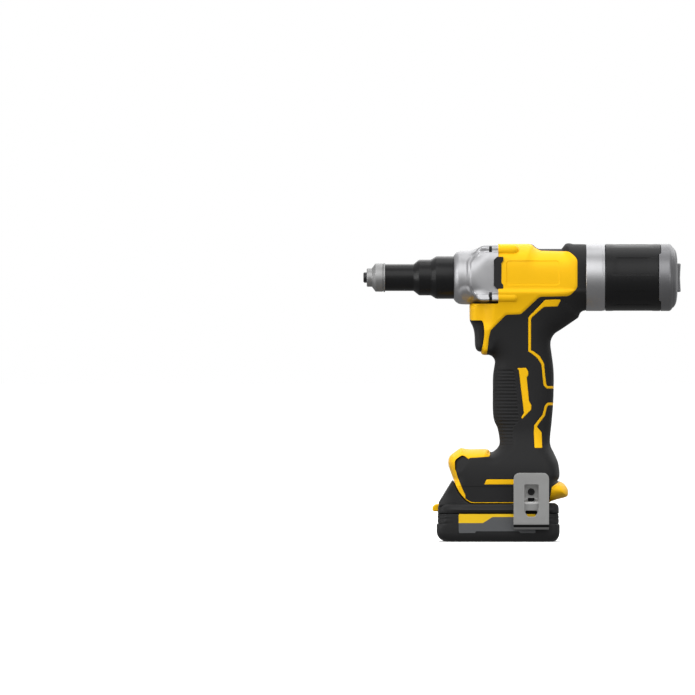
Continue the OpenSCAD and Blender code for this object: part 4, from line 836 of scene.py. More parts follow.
def right_zone(p):
    away, which = from_wells(p)
    collar = np.where(yellow(screw_spots[:, [0, 2]]) > -YELLOW_DEEP, 1.0, -1.0)
    return np.where(away < WELL_COLLAR, collar[which], yellow(p))


# %% [markdown]
# ## Cutting and lifting the case
# One half is made and cut, then split by colour into the hard yellow shell and the soft black
# cover. The other half is its mirror image, apart from the wells for the screws.

# %% Cuts in one half
EDGE_LEVELS = (0.03, 0.12, 0.3, 0.6, 1.0, 1.6, 2.4, 3.6, 5.2)
RIB_SHARES = (0.14, 0.36, 0.64, 0.86)
BOSS_REACH, OFF = 24.0, 9.0
TRIGGER_REAR, TRIGGER_BELOW, TRIGGER_ABOVE = -1.0, 0.3, 0.2
LAMP_GAP, LAMP_NEAR, LAMP_PASSES = 0.2, 0.02, 4
trigger_low, trigger_high = box("trigger")
lamp_low, lamp_high = box("led_lens")
lamp_half = lamp_high[1] + LAMP_GAP
lamp_z = (lamp_low[2] - LAMP_GAP, lamp_high[2] + LAMP_GAP)


def slot_here(p):
    x, z = p.T
    return (x < TRIGGER_REAR) & (z > trigger_low[2] - TRIGGER_BELOW) & (z < trigger_high[2] + TRIGGER_ABOVE)


def lamp_here(p):
    x, z = p.T
    return (x < lamp_high[0] + LAMP_NEAR) & (z > lamp_z[0] - LAMP_NEAR) & (z < lamp_z[1] + LAMP_NEAR)


def opened(skin, here, half, passes=1):
    for _ in range(passes):
        skin.cut(lambda p: np.where(here(p), half_width(p) - half, 1.0), 0)
    middle = skin.middle()
    return skin.keep(~(here(middle) & (half_width(middle) < half)))


case = cut_out(case_outline, step=(1.5, 1.3), margin=2.0)
case.cut(lambda p: nearest(p, free_lines), *EDGE_LEVELS)
case.cut(yellow, -GROOVE_HALF, 0, GROOVE_HALF)
case.cut(lambda p: signed(p, side_recess), -RECESS_EDGE, RECESS_EDGE)
case.cut(lambda p: signed(p, panel), *PANEL_LEVELS)
case.cut(lambda p: np.where(p[:, 0] < BOSS_REACH, bosses(p) - half_width(p) - PANEL_PROUD, -OFF), 0)
case.cut(lambda p: signed(p, rib_panel), *sorted(RIB_EDGE))
case.cut(lambda p: signed(p, facet), 0)
case.cut(lambda p: p[:, 1], foot_step_z - STEP_EDGE, foot_step_z + STEP_EDGE)
case.cut(lambda p: distance(p, seam_line) + np.where(p[:, 0] < 0, OFF, 0), SEAM_GROOVE)
rib_low, rib_high = rib_panel[:, 1].min() / RIB_PITCH, rib_panel[:, 1].max() / RIB_PITCH
rib_rows = np.arange(math.floor(rib_low), math.ceil(rib_high))
for share in RIB_SHARES:
    case.cut(lambda p: p[:, 1], *(rib_rows * RIB_PITCH + share * RIB_PITCH))
case = opened(case, slot_here, SLOT_HALF)
case.cut(lambda p: np.where(p[:, 0] < lamp_high[0], p[:, 1], 0.0), *lamp_z)
case = opened(case, lamp_here, lamp_half, LAMP_PASSES)
print("one half of the case:", len(case.p), "points")

# %% [markdown]
# Where the outline rolls over to the middle plane the rim of both halves has to lie exactly on it,
# or slits show along the seam. Then each half is lifted: the outer face by the relief, the inner
# face by a wall less, and at the lamp no further in than its opening.

# %% The two halves
SHELL_WALL, COVER_WALL = 4.0, 1.6
SEAM_NEAR, NOTCH_NEAR = 0.1, 0.8
WELL_NEAR = 0.01


def seam_rim(skin):
    rim = np.zeros(len(skin.p), bool)
    rim[skin.rim()] = True
    free, fixed = nearest(skin.p, free_lines), nearest(skin.p, square_lines)
    near = np.where(slot_here(skin.p) | lamp_here(skin.p), SEAM_NEAR, NOTCH_NEAR)
    return rim & (free < near) & (free < fixed)


for side, sign in (("left", -1), ("right", 1)):
    half = case.keep(np.ones(len(case.t), bool))
    if side == "right":
        half.cut(lambda p: from_wells(p)[0], 0.0, WELL_WALL, WELL_COLLAR)
    zone = (right_zone if side == "right" else yellow)(half.middle())
    on_seam = seam_rim(half)
    for kind, mask, wall, mat, slot in (("housing", zone < 0, SHELL_WALL, yellow_nylon, "yellow_shell"),
                                        ("grip", zone >= 0, COVER_WALL, grip_rubber, "black_grip")):
        skin = half.keep(mask)
        h = half_width(skin.p)
        out_y = relief(skin.p, h)
        if side == "right":
            away, which = from_wells(skin.p)
            floor_y = np.minimum(out_y, screw_spots[which, 1] - HEAD_LONG)
            out_y = np.where(away < WELL_NEAR, floor_y, out_y)
        least = np.where(lamp_here(skin.p), np.minimum(lamp_half, out_y), 0)
        in_y = np.maximum(np.minimum(h - wall, out_y - FLOOR_WALL), least)
        seam = on_seam[np.unique(half.t[mask])]
        out_y[seam] = in_y[seam] = 0
        x, z = skin.p.T
        points, faces = thicken(skin, np.stack([x, sign * out_y, z], 1), np.stack([x, sign * in_y, z], 1))
        obj = mesh(f"{kind}_{side}_skin", points, faces)
        place(obj, mat, "tool", slot, f"{kind}_{side}")

# %% [markdown]
# ## Screws by Geometry Nodes
# All the case screws are alike, so one is modelled, with a six-lobed socket, and a node tree puts a
# copy on each place. Every copy is turned by its own angle, as a screwdriver leaves it. The tree has
# named inputs for the shape, the size, the axis, the seed and the finish. Copies made by nodes are
# only references, so the tree ends by making them real, and the result becomes a plain mesh.

# %% Screw shape and node tree
LOBES, LOBE_DEPTH = 6, 0.16
SCREW_SIDES = 48
TREE_INPUTS = (("Geometry", "Geometry"), ("Shape", "Object"), ("Size", "Float"), ("Axis", "Vector"),
               ("Seed", "Int"), ("Finish", "Material"))


def screw(head_r, head_long, shank_r, shank_long, drive_r):
    a = np.linspace(0, 2 * math.pi, SCREW_SIDES, endpoint=False)
    lobed = drive_r * (1 + LOBE_DEPTH * np.cos(LOBES * a))
    end = -head_long - shank_long
    # Each row: how far along from the head's top, and the radius there.
    rows = [(-1.6, 0.5 * lobed), (-1.5, 0.92 * lobed), (-0.12, lobed), (0.0, 1.06 * lobed),
            (0.0, 0.74 * head_r), (-0.3, 0.9 * head_r), (-0.9, head_r), (-head_long, head_r),
            (-head_long, shank_r), (1.0 + end, shank_r), (end, 0.5 * shank_r)]
    return loft([np.column_stack([r * np.cos(a), np.full(SCREW_SIDES, y), r * np.sin(a)]) for y, r in rows])


def repeat(name, shape, spots, axis, finish, seed):
    tree = bpy.data.node_groups.new(name + "_tree", "GeometryNodeTree")
    sockets = {label: tree.interface.new_socket(label, in_out="INPUT", socket_type="NodeSocket" + kind)
               for label, kind in TREE_INPUTS}
    tree.interface.new_socket("Geometry", in_out="OUTPUT", socket_type="NodeSocketGeometry")
    start, end, info, turn, spin, copies, real, paint = [tree.nodes.new(kind) for kind in (
        "NodeGroupInput", "NodeGroupOutput", "GeometryNodeObjectInfo", "FunctionNodeRandomValue",
        "FunctionNodeAxisAngleToRotation", "GeometryNodeInstanceOnPoints",
        "GeometryNodeRealizeInstances", "GeometryNodeSetMaterial")]
    turn.data_type = "FLOAT"
    turn.inputs[3].default_value = 2 * math.pi
    given = start.outputs
    for one, two in ((given["Shape"], info.inputs["Object"]), (given["Seed"], turn.inputs["Seed"]),
                     (given["Axis"], spin.inputs["Axis"]), (turn.outputs[1], spin.inputs["Angle"]),
                     (given["Geometry"], copies.inputs["Points"]),
                     (info.outputs["Geometry"], copies.inputs["Instance"]),
                     (spin.outputs[0], copies.inputs["Rotation"]), (given["Size"], copies.inputs["Scale"]),
                     (copies.outputs[0], real.inputs[0]), (real.outputs[0], paint.inputs["Geometry"]),
                     (given["Finish"], paint.inputs["Material"]), (paint.outputs[0], end.inputs[0])):
        tree.links.new(one, two)
    carrier = mesh(name + "_spots", spots, [])
    modifier = carrier.modifiers.new(name, "NODES")
    modifier.node_group = tree
    values = {"Shape": shape, "Size": 1.0, "Axis": axis, "Seed": seed, "Finish": finish}
    for label, value in values.items():
        modifier[sockets[label].identifier] = value
    made = linked(name, evaluated(carrier))
    carrier.modifiers.clear()
    for helper in (carrier, shape):
        bpy.data.objects.remove(helper, do_unlink=True)
    print(name, "copies", len(spots), "points", len(made.data.vertices))
    return made


# %% [markdown]
# One screw is lofted from its profile and handed to the tree, with the places found above. A fixed
# seed gives each screw the same turn in every run.

# %% Case screws
SCREW_SEED = 7
HEAD_R, SHANK_R, SHANK_LONG, DRIVE_R = 3.6, 1.9, 12.0, 1.75
case_screw = mesh("case_screw_shape", *screw(HEAD_R, HEAD_LONG, SHANK_R, SHANK_LONG, DRIVE_R), sharp=30)
case_screws = repeat("case_screws", case_screw, screw_spots, (0.0, 1.0, 0.0), dark_screw, SCREW_SEED)
place(case_screws, dark_screw, "tool", "dark_screw", "housing_screws")

# %% [markdown]
# ## The trigger
# A variable-speed trigger is a moulding that slides straight back, with its front scooped for one
# finger. A bevelled box could stand for it, but an outline with rolled edges, as on the case, follows
# the scoop and keeps the sides flat where they slide.

# %% Trigger
TRIGGER_ROUND, TRIGGER_POWER = 6.0, 2.4
trigger_front = traced(spline([
    (483.6, 352), (480.8, 351.9), (478.4, 351.3), (476.6, 349.9), (475.4, 347.4), (474.8, 343.6),
    (474.6, 337), (474, 331.4), (472.6, 326.4), (470.8, 322.8), (470, 321.2), (469.9, 319.85)]))
trigger_outline = np.vstack([trigger_front, [(trigger_high[0], trigger_front[k, 1]) for k in (-1, 0)]])
trigger_half = min(-trigger_low[1], trigger_high[1])
lever = cut_out(trigger_outline, step=(1.0, 0.9))
lever.cut(lambda p: distance(p, trigger_front), *EDGE_LEVELS[:-1])
x, z = lever.p.T
edge = np.clip(1 - distance(lever.p, trigger_front) / TRIGGER_ROUND, 0, 1)
y = trigger_half * (1 - edge ** TRIGGER_POWER) ** (1 / TRIGGER_POWER)
points, faces = thicken(lever, np.stack([x, -y, z], 1), np.stack([x, y, z], 1))
place(mesh("trigger_lever", points, faces), black_nylon, "trigger", "black_plastic", "trigger")

# %% [markdown]
# ## Turned pieces
# The nose tubes, the collector's ring, its canister and its cap are turned on a lathe or moulded
# round, so each is a profile swept about the pull axis. Spin could sweep it too; rings joined one to
# the next close on themselves, with no seam to merge. Every corner of a profile gets a small radius:
# it is the bright line along such an edge that makes metal look like metal.

# %% Nose
EDGE = 0.35
MANDREL_R = 2.4
TIP_R, TIP_EDGE, TIP_SEAT = 5.0, 0.9, 6.0
CONE_FRONT_R, CONE_EDGE, CONE_BORE, CONE_SEAT_R = 8.8, 0.7, 5.3, 9.5
SLEEVE_R, SLEEVE_BORE = 12.75, 10.6
COLLAR_BORE = 11.0


def lathe(name, profile, radius=EDGE):
    return mesh(name, *turned(fillet(profile, radius, steps=3)), sharp=24)


def span(node):
    low, high = box(node)
    return low[0], high[0], (high[2] - low[2]) / 2


tip_x = span("nosepiece")[0]
cone_x, cone_end, cone_r = span("nose_cone")
sleeve_x, sleeve_end, sleeve_big_r = span("nose_sleeve")
collar_x, collar_end, collar_r = span("base_collar")
# Each profile runs once round the section: station along the axis, and radius.
NOSE = (
    ("nosepiece", dark_tip, "bright_steel", [
        (tip_x, MANDREL_R), (tip_x, TIP_R - TIP_EDGE), (tip_x + TIP_EDGE, TIP_R), (cone_x + 0.4, TIP_R),
        (cone_x + TIP_SEAT, TIP_R), (cone_x + TIP_SEAT, MANDREL_R)]),
    ("nose_cone", bright_steel, "bright_steel", [
        (cone_x, CONE_BORE), (cone_x, CONE_FRONT_R - CONE_EDGE), (cone_x + CONE_EDGE, CONE_FRONT_R),
        (-119.8, CONE_FRONT_R), (-116.4, cone_r - 0.4), (-109.6, cone_r - 0.3), (-109.4, cone_r - 0.9),
        (-108.9, cone_r - 0.9), (-108.7, cone_r), (cone_end, cone_r), (cone_end, CONE_SEAT_R),
        (-113.0, CONE_SEAT_R), (-113.0, CONE_BORE)]),
    ("nose_sleeve", black_oxide, "black_steel", [
        (sleeve_x, SLEEVE_BORE), (sleeve_x, SLEEVE_R - 0.3), (-106.9, SLEEVE_R), (-80.4, SLEEVE_R),
        (-79.6, SLEEVE_R + 0.5), (-75.4, sleeve_big_r - 0.4), (-74.4, sleeve_big_r),
        (sleeve_end, sleeve_big_r), (sleeve_end, SLEEVE_BORE)]),
    ("base_collar", black_oxide, "black_steel", [
        (collar_x, COLLAR_BORE), (collar_x, sleeve_big_r + 0.1), (collar_x + 1.0, sleeve_big_r + 0.5),
        (collar_x + 4.9, collar_r - 0.3), (collar_x + 6.1, collar_r), (collar_end, collar_r),
        (collar_end, COLLAR_BORE)]))
for node, mat, slot, profile in NOSE:
    place(lathe(node + "_turned", profile), mat, "tool", slot, node)

# %% [markdown]
# ## The gearcase casting
# The casting is round at the nose and spreads into a flange that bolts to the case. It is not
# turned, so its radius is a function of both the station along the axis and the angle round it:
# a round front, a spreading rear, four bolt lugs with a slot in front of each, and soft swellings
# over the gears low on each side.

# %% Gearcase
ANGLES, STATIONS = 400, 150
SLOT_FRONT, SLOT_REAR, SLOT_LIP = -8.6, -6.0, 0.06
SLOT_R, SLOT_FLOOR = 4.5, 1.5
LUG_STARTS, LUG_RUN, LUG_HALF_ANGLE = (-26.0, -27.0), 13.0, 7.0
DOME_PROUD, DOME_RUN = 1.6, (9.0, 3.5)
VALLEY_AT, VALLEY_HALF, VALLEY_DEPTH = 2.3, 1.0, 0.5
RIDGE_AT, RIDGE_PROUD = 4.6, 0.3
PLATE_HALF, PLATE_PROUD, PLATE_EDGE = 27.4, 1.2, 0.5
SIDEWAYS_LEAST = 0.2    # keeps the flat side finite at the top and bottom
BLEND = 30.0
FRONT_PROFILE = np.array([(-42.0, 20.6), (-41.7, 21.3), (-41.0, 22.2), (-39.6, 23.6), (-37.6, 24.8),
                          (-35.0, 25.4), (-30.0, 25.6), (0.0, 25.8)])
FRONT_STEPS = np.array([0.1, 0.3, 0.6, 1.0])
FLANGE_UP, FLANGE_DOWN, FLANGE_SIDE = 31.0, 26.0, 28.2
FLANGE_RUN, FLANGE_POWER = (-28.0, -8.0), 3
CASE_BORE, FACE_R, CAVITY_R = 11.2, 20.2, 21.0
FACE_WALL, REAR_WALL = 5.0, 3.0
case_front, case_rear = box("gearcase")[0][0], box("gearcase")[1][0]
angle = np.linspace(0, 2 * math.pi, ANGLES, endpoint=False)
slot_edges = [x + d for x in (SLOT_FRONT, SLOT_REAR) for d in (-SLOT_LIP, SLOT_LIP)]
station = np.unique(np.concatenate([np.linspace(case_front, case_rear, STATIONS), slot_edges,
                                    case_front + FRONT_STEPS]))
along_x, around_x = np.meshgrid(station, angle, indexing="ij")
out_y, out_z = np.sin(around_x), -np.cos(around_x)


def crosses_boss(y, up):
    forward = out_y * y + out_z * up
    return (forward > 0) & (forward ** 2 - y ** 2 - up ** 2 + SLOT_R ** 2 > 0)


half_height = np.where(out_z > 0, FLANGE_UP, FLANGE_DOWN)
flange = ((np.abs(out_z) / half_height) ** FLANGE_POWER
          + (np.abs(out_y) / FLANGE_SIDE) ** FLANGE_POWER) ** (-1 / FLANGE_POWER)
radius = np.interp(along_x, *FRONT_PROFILE.T)
radius += (flange - radius) * smooth(*FLANGE_RUN, along_x)
dome_x, dome_z = traced([(465.3, 294.6)])[0]
away = np.hypot(along_x - dome_x, axis_z + radius * out_z - dome_z)
radius += DOME_PROUD * smooth(*DOME_RUN, away)
screw_places = [(sign * y, up) for y, up in BOSS_PLACES for sign in (-1, 1)]
for (y, up), start in zip(screw_places, np.repeat(LUG_STARTS, 2)):
    out = math.hypot(y, up)
    turn = np.degrees(np.arccos(np.clip((out_y * y + out_z * up) / out, -1, 1)))
    lug = np.exp(-(turn / LUG_HALF_ANGLE) ** 2) * smooth(start, start + LUG_RUN, along_x)
    radius += (out + BOSS_R - radius) * lug

# %% [markdown]
# A flat pad stands on each side, with a shallow valley and a low ridge round it. Then a slot is cut
# in front of each lug, where the real screws go in.

# %% Gearcase sides and slots
side_plate = fillet(traced([(470.6, 263.2), (478.8, 253.4), (504, 252.8), (504, 294.5), (474.6, 294.5),
                            (470.6, 286)]), 1.0)
side_view = np.column_stack([along_x.ravel(), (axis_z + radius * out_z).ravel()])
over_plate = signed(side_view, side_plate).reshape(radius.shape)
on_plate = smooth(PLATE_EDGE, -PLATE_EDGE, over_plate)
radius -= VALLEY_DEPTH * np.exp(-((over_plate - VALLEY_AT) / VALLEY_HALF) ** 2)
radius += RIDGE_PROUD * np.exp(-((over_plate - RIDGE_AT) / VALLEY_HALF) ** 2)
flat_reach = PLATE_HALF / np.maximum(np.abs(out_y), SIDEWAYS_LEAST)
flattened = ((radius + PLATE_PROUD) ** -BLEND + flat_reach ** -BLEND) ** (-1 / BLEND)
radius += on_plate * (flattened - radius)
in_slot = (along_x > SLOT_FRONT) & (along_x < SLOT_REAR)
for y, up in screw_places:
    floor_r = out_y * y + out_z * up - SLOT_FLOOR
    radius = np.where(in_slot & crosses_boss(y, up), np.minimum(radius, floor_r), radius)
rings = [hoop(case_front, r, angle) for r in (CASE_BORE, FACE_R)]
rings += [hoop(x, r, angle) for x, r in zip(station, radius)]
rings += [hoop(case_rear, radius[-1] - REAR_WALL, angle)]
rings += [hoop(case_front + FACE_WALL, r, angle) for r in (CAVITY_R, CASE_BORE)]
gearcase = mesh("gearcase_casting", *loft(rings + rings[:1], ends=False))
place(gearcase, cast_alloy, "tool", "cast_alloy", "gearcase")

# %% [markdown]
# ## Ring, canister and cap of the mandrel collector
# Spent mandrels fall back into a canister that twists off the bright ring. The ring is machined;
# the canister and its cap are moulded, with flat pads, two tabs and a raised lug to turn them by.

# %% Collector
SPIGOT_R, SPIGOT_BORE = 29.0, 20.0
RING_BORE, RING_NECK_R = 18.0, 24.0
RING_GAP = 0.3
canister_low, canister_high = box("collector_canister")
cap_low, cap_high = box("collector_cap")
ring_r, canister_r, cap_r = [(high[2] - low[2]) / 2 for low, high in (
    (ring_low, ring_high), (canister_low, canister_high), (cap_low, cap_high))]
ring_front, ring_rear, ring_end = case_outline[:, 0].max(), canister_low[0] - RING_GAP, ring_high[0]
ring_profile = [
    (ring_low[0], RING_BORE), (ring_low[0], RING_NECK_R), (ring_front, RING_NECK_R),
    (ring_front, ring_r - 0.5), (ring_front + 0.5, ring_r), (ring_rear - 2.6, ring_r),
    (ring_rear - 2.2, ring_r - 0.25), (ring_rear - 0.5, ring_r - 0.3), (ring_rear, ring_r - 0.8),
    (ring_rear, SPIGOT_R), (ring_end - 0.6, SPIGOT_R), (ring_end, SPIGOT_R - 0.6),
    (ring_end, SPIGOT_BORE), (ring_rear, SPIGOT_BORE), (ring_rear, RING_BORE)]
ring = lathe("collector_ring_turned", ring_profile, radius=0.2)
place(ring, satin_alloy, "tool", "bright_steel", "collector_ring")

# %% [markdown]
# The canister's pads and the cap's tabs change with the angle, so the rings below take more points
# where a pad or a tab begins and ends, and fewer between.

# %% Canister
TAB_ANGLES, TAB_HALF_ANGLE, TAB_FORWARD, TAB_SLOPE = (90.0, 270.0), 45.0, 2.0, 1.5
PAD_ANGLES = (10.0, 70.0, 130.0, 190.0, 250.0, 310.0)
PAD_HALF_ANGLE, PAD_DEPTH, PAD_SLOPE = 16.0, 0.6, 0.55
PAD_MARGINS = (6.0, 6.5)
PAD_STEPS = PAD_SLOPE * np.array([-1.3, -1.0, -0.35, 0.35, 1.0, 1.3])
TAB_STEPS = np.array([-2.0, -1.0, 0.0, 1.0, 2.0])
PAD_RUN = ((-1, 0), (1, 0.15), (3, 0.5), (5, 0.85), (7, 1))
PAD_FLAT, PAD_RINGS = 10.0, 5
JOINT_GAP = 0.15
CANISTER_EDGE, CANISTER_LIP = 0.6, 0.4
CANISTER_BORE, CANISTER_SIDES = 29.2, 240
cap_joint = canister_high[0]
turns = [np.linspace(0, 360, CANISTER_SIDES, endpoint=False)]
for centres, half_angle, steps in ((PAD_ANGLES, PAD_HALF_ANGLE, PAD_STEPS),
                                   (TAB_ANGLES, TAB_HALF_ANGLE, TAB_STEPS)):
    turns += [(centre + side * half_angle + steps) % 360 for centre in centres for side in (-1, 1)]
fine_turn = np.unique(np.concatenate(turns))


def around(x, r):
    return hoop(x, r, np.radians(fine_turn))


def raised(centres, half_angle, slope):
    off = [np.abs((fine_turn - centre + 180) % 360 - 180) for centre in centres]
    return np.max([smooth(half_angle + slope, half_angle - slope, turn) for turn in off], axis=0)


tab = raised(TAB_ANGLES, TAB_HALF_ANGLE, TAB_SLOPE)
pad = PAD_DEPTH * raised(PAD_ANGLES, PAD_HALF_ANGLE, PAD_SLOPE)
front, rear = canister_low[0], cap_joint - TAB_FORWARD * tab - JOINT_GAP
pad_front, pad_rear = front + PAD_MARGINS[0], cap_joint - PAD_MARGINS[1]
rings = [around(front, CANISTER_BORE), around(front, canister_r - CANISTER_EDGE),
         around(front + CANISTER_EDGE, canister_r)]
rings += [around(pad_front + run, canister_r - share * pad) for run, share in PAD_RUN]
flat_x = np.linspace(pad_front + PAD_FLAT, pad_rear - PAD_FLAT, PAD_RINGS)
rings += [around(x, canister_r - pad) for x in flat_x]
rings += [around(pad_rear - run, canister_r - share * pad) for run, share in reversed(PAD_RUN)]
rings += [around(rear - CANISTER_LIP, canister_r), around(rear, canister_r - CANISTER_LIP),
          around(rear, CANISTER_BORE)]
canister = mesh("collector_canister_moulding", *loft(rings + rings[:1], ends=False))
place(canister, black_canister, "collector", "black_plastic", "collector_canister")

# %% [markdown]
# The cap closes the canister. A plug goes into the bore, the rear is a low dome, and a lug stands
# across it to turn it by.

# %% Cap with its lug
CAP_LIP = 0.35
CAP_PLUG = 0.3          # the plug inside the canister is smaller by this
SHOULDER = 8.2
LUG_HALF, LUG_EDGE, LUG_STEP = 4.5, 0.9, 0.8
DOME = [(0.0, 0.0), (0.9, 0.25), (1.8, 0.9), (2.6, 1.7), (3.0, 2.6), (3.4, 2.9), (4.4, 3.6), (5.2, 4.6),
        (6.2, 6.3), (7.1, 9.0), (7.8, 13.5)]
front = cap_joint - TAB_FORWARD * tab + JOINT_GAP
shoulder = cap_joint + SHOULDER
cap_rear, lug_rear = shoulder + DOME[-1][0], cap_high[0]
plug_r = CANISTER_BORE - CAP_PLUG
cap_profile = [(cap_joint - 1.0, plug_r), (cap_joint + 0.6, plug_r), (front, CANISTER_BORE + 0.2),
               (front, cap_r - CAP_LIP), (front + CAP_LIP, cap_r), (cap_joint + 1.5, cap_r),
               (shoulder - 1.0, cap_r)]
cap_profile += [(shoulder + run, cap_r - inset) for run, inset in DOME] + [(cap_rear, 8.0), (cap_rear, 0.4)]
lug_outline = fillet(np.array([
    (cap_rear - 5.0, 10.5), (cap_rear - 1.0, 13.6), (lug_rear - 0.1, 13.2), (lug_rear - 0.8, 0.0),
    (lug_rear - 0.1, -13.6), (cap_rear - 1.0, -13.9), (cap_rear - 5.0, -10.5)]) + (0, axis_z),
    (0, 1.0, 0.9, 6.0, 0.9, 1.0, 0))
cap_parts = [loft([around(x, r) for x, r in cap_profile]),
             plate(lug_outline, across(0.0), LUG_HALF, LUG_EDGE, LUG_STEP)]
cap = mesh("collector_cap_moulding", *joined(cap_parts))
place(cap, grey_cap_alloy, "collector", "grey_plastic", "collector_cap")

# %% [markdown]
# ## The battery
# A slide-on battery is two mouldings: a tray with rounded lower edges and a cover that carries the
# rails. Both are stacks of rounded rectangles, one for each height where the outline changes, which
# is also how a tool maker would draw the mould: from the parting line outward.

# %% Battery tray
PACK_CORNER = 9.0
LONG_EDGE, EDGE_SPLITS = 8.0, 14
FACE, GROOVE = (1.0, 0.8, 0.0), (1.6, 1.3, 0.0)
GROOVE_SLOPE = 0.2
TRAY_GROOVES = ((16.6, 17.7), (21.4, 22.4), (24.2, 25.2))
base_low, base_high = box("pack_base")
cover_low = box("pack_cover")[0]


def layer(z, front, rear, side):
    x0, x1, y = base_low[0] + front, base_high[0] - rear, base_high[1] - side
    outline = fillet([(x0, -y), (x1, -y), (x1, y), (x0, y)], PACK_CORNER, steps=8)
    out = []
    for a, b in zip(outline, np.roll(outline, -1, 0)):
        n = EDGE_SPLITS if np.linalg.norm(b - a) > LONG_EDGE else 1
        out += [a + (b - a) * k / n for k in range(n)]
    return np.column_stack([out, np.full(len(out), z)])


# Each row: height above the foot, and how far front, rear and sides stand in from the box.
TRAY = [(0.0, 9.0, 6.0, 6.4), (0.5, 6.4, 4.4, 4.6), (1.5, 4.4, 2.9, 3.1), (3.2, 2.2, 1.5, 1.6),
        (5.6, 0.7, 0.5, 0.5), (8.4, 0.05, 0.05, 0.0), (15.0, 0.0, 0.0, 0.0), (16.2, 0.3, 0.2, 0.0)]
for low, high in TRAY_GROOVES:
    TRAY += [(low, *FACE), (low + GROOVE_SLOPE, *GROOVE), (high - GROOVE_SLOPE, *GROOVE), (high, *FACE)]
TRAY += [(25.9, 1.2, 1.0, 0.2), (base_high[2], 1.7, 1.4, 0.6)]
rings = [layer(base_low[2] + z, *inset) for z, *inset in TRAY]
place(mesh("pack_tray_moulding", *loft(rings), sharp=30), black_nylon, "pack", "black_plastic", "pack_base")

# %% [markdown]
# The cover is a lid, a tower in front that carries the latch, and a rail on a narrower neck. Its
# sides step in a little where the foot's edge stands over them.

# %% Lid and tower
COVER = [(0.0, 1.9, 1.4, 0.8), (0.35, 1.3, 1.0, 0.3), (0.9, 1.2, 0.8, 0.1), (2.6, 1.2, 0.8, 0.0),
         (3.4, 1.2, 0.8, 0.0), (4.2, 1.2, 0.8, 0.0), (5.3, 1.3, 0.9, 0.0), (6.4, 1.4, 1.1, 0.0),
         (7.6, 1.5, 1.4, 0.1), (8.6, 2.3, 2.4, 0.5), (9.3, 3.6, 3.6, 1.6), (9.6, 5.2, 5.0, 3.2)]
SHELF = [(0.0, 1.5), (2.6, 0.6), (3.4, 0.0), (4.2, 0.3), (6.4, 2.4), (9.6, 2.6)]
SHELF_SIDE = (20.0, 30.0)
shelf_front = base_low[0] + np.array([14.0, 20.0])
shelf_rear = base_high[0] - np.array([6.0, 10.0])
TOWER_HALF, TOWER_FLARE = 32.4, 3.2
CORE_HALF = 29.0
rings = [layer(cover_low[2] + z, *inset) for z, *inset in COVER]
for ring in rings:
    x, y, z = ring.T
    reach = smooth(*shelf_front, x) * smooth(*shelf_rear, x)
    inset = np.interp(z - cover_low[2], *zip(*SHELF))
    ring[:, 1] = y - np.sign(y) * inset * reach * smooth(*SHELF_SIDE, np.abs(y))
cover_part = loft(rings)
tower_outline = np.vstack([
    traced([(438.6, 506.4), (438.9, 502.2), (452.4, 480.4)]),
    traced(spline([(452.8, 480.4), (455.9, 486.8), (459.4, 492.9), (464.2, 498.5), (467, 500.7),
                   (470.2, 502.4), (472.4, 503), (473.2, 504.6)])),
    traced([(473.2, 506.4)])])
core_outline = np.vstack([
    traced([(442, 504.6), (442.6, 500.6), (452.6, 481.4)]),
    traced(spline([(453.4, 480.6), (456.6, 486.6), (460.2, 492.6), (465, 498.2), (467.6, 500.2),
                   (470.6, 501.9), (473, 502.4), (473.6, 504.6)]))])
flare_rise = traced([(0, 492), (0, 506.4)])[:, 1]
flare_run = traced([(455, 0), (443, 0)])[:, 0]


def flared(p, off):
    spread = TOWER_FLARE * smooth(*flare_rise, p[:, 1]) * smooth(*flare_run, p[:, 0])
    return np.column_stack([p[:, 0], off + np.sign(off) * spread, p[:, 1]])


tower_part = plate(tower_outline, flared, TOWER_HALF, edge=2.4, step=1.2)
core_part = plate(core_outline, across(0.0), CORE_HALF, edge=1.0, step=1.2)
print("lid, tower and core points", [len(points) for points, _ in (cover_part, tower_part, core_part)])

# %% [markdown]
# The rail has a slot for each contact blade in the foot, and a shaft for the latch tongue. The
# button's pocket and that shaft are cut with a Boolean, so that both can move as far as the CAD
# joint lets them.

# %% Rail, pockets and the whole cover
RAIL_FRONT, RAIL_REAR = -34.6, 28.4
RAIL_HALF, NECK_HALF = 26.4, 21.4
NECK_LOW, NECK_TOP, RAIL_TOP = 9.4, 42.4, 52.2
NECK_LAP = 0.3
CONTACTS, CONTACT_PITCH, CONTACT_HALF, CONTACT_GAP = 4, 9.0, 0.75, 0.4
BUTTON_GAP, BUTTON_TRAVEL, BUTTON_FRONT = 0.25, 3.5, 4.0
TONGUE_GAP, TONGUE_TOP = 0.4, 8.0
BLOCK_SIDES = [(0, 1, 3, 2), (4, 6, 7, 5), (0, 4, 5, 1), (2, 3, 7, 6), (0, 2, 6, 4), (1, 5, 7, 3)]
tongue_low, tongue_high = box("latch_tongue")
button_low, button_high = box("release_button")
terminal_low, terminal_high = box("terminal_block")


def flat(z):
    return lambda p, off: np.column_stack([p, z + off])


def rectangle(x0, x1, y0, y1, r=0.6):
    return fillet([(x0, y0), (x1, y0), (x1, y1), (x0, y1)], r, steps=4)


def bar(half, low, high, holes, r, edge, step):
    outline = rectangle(RAIL_FRONT, RAIL_REAR, -half, half, r)
    return plate(outline, flat((low + high) / 2), (high - low) / 2, edge, step, holes)


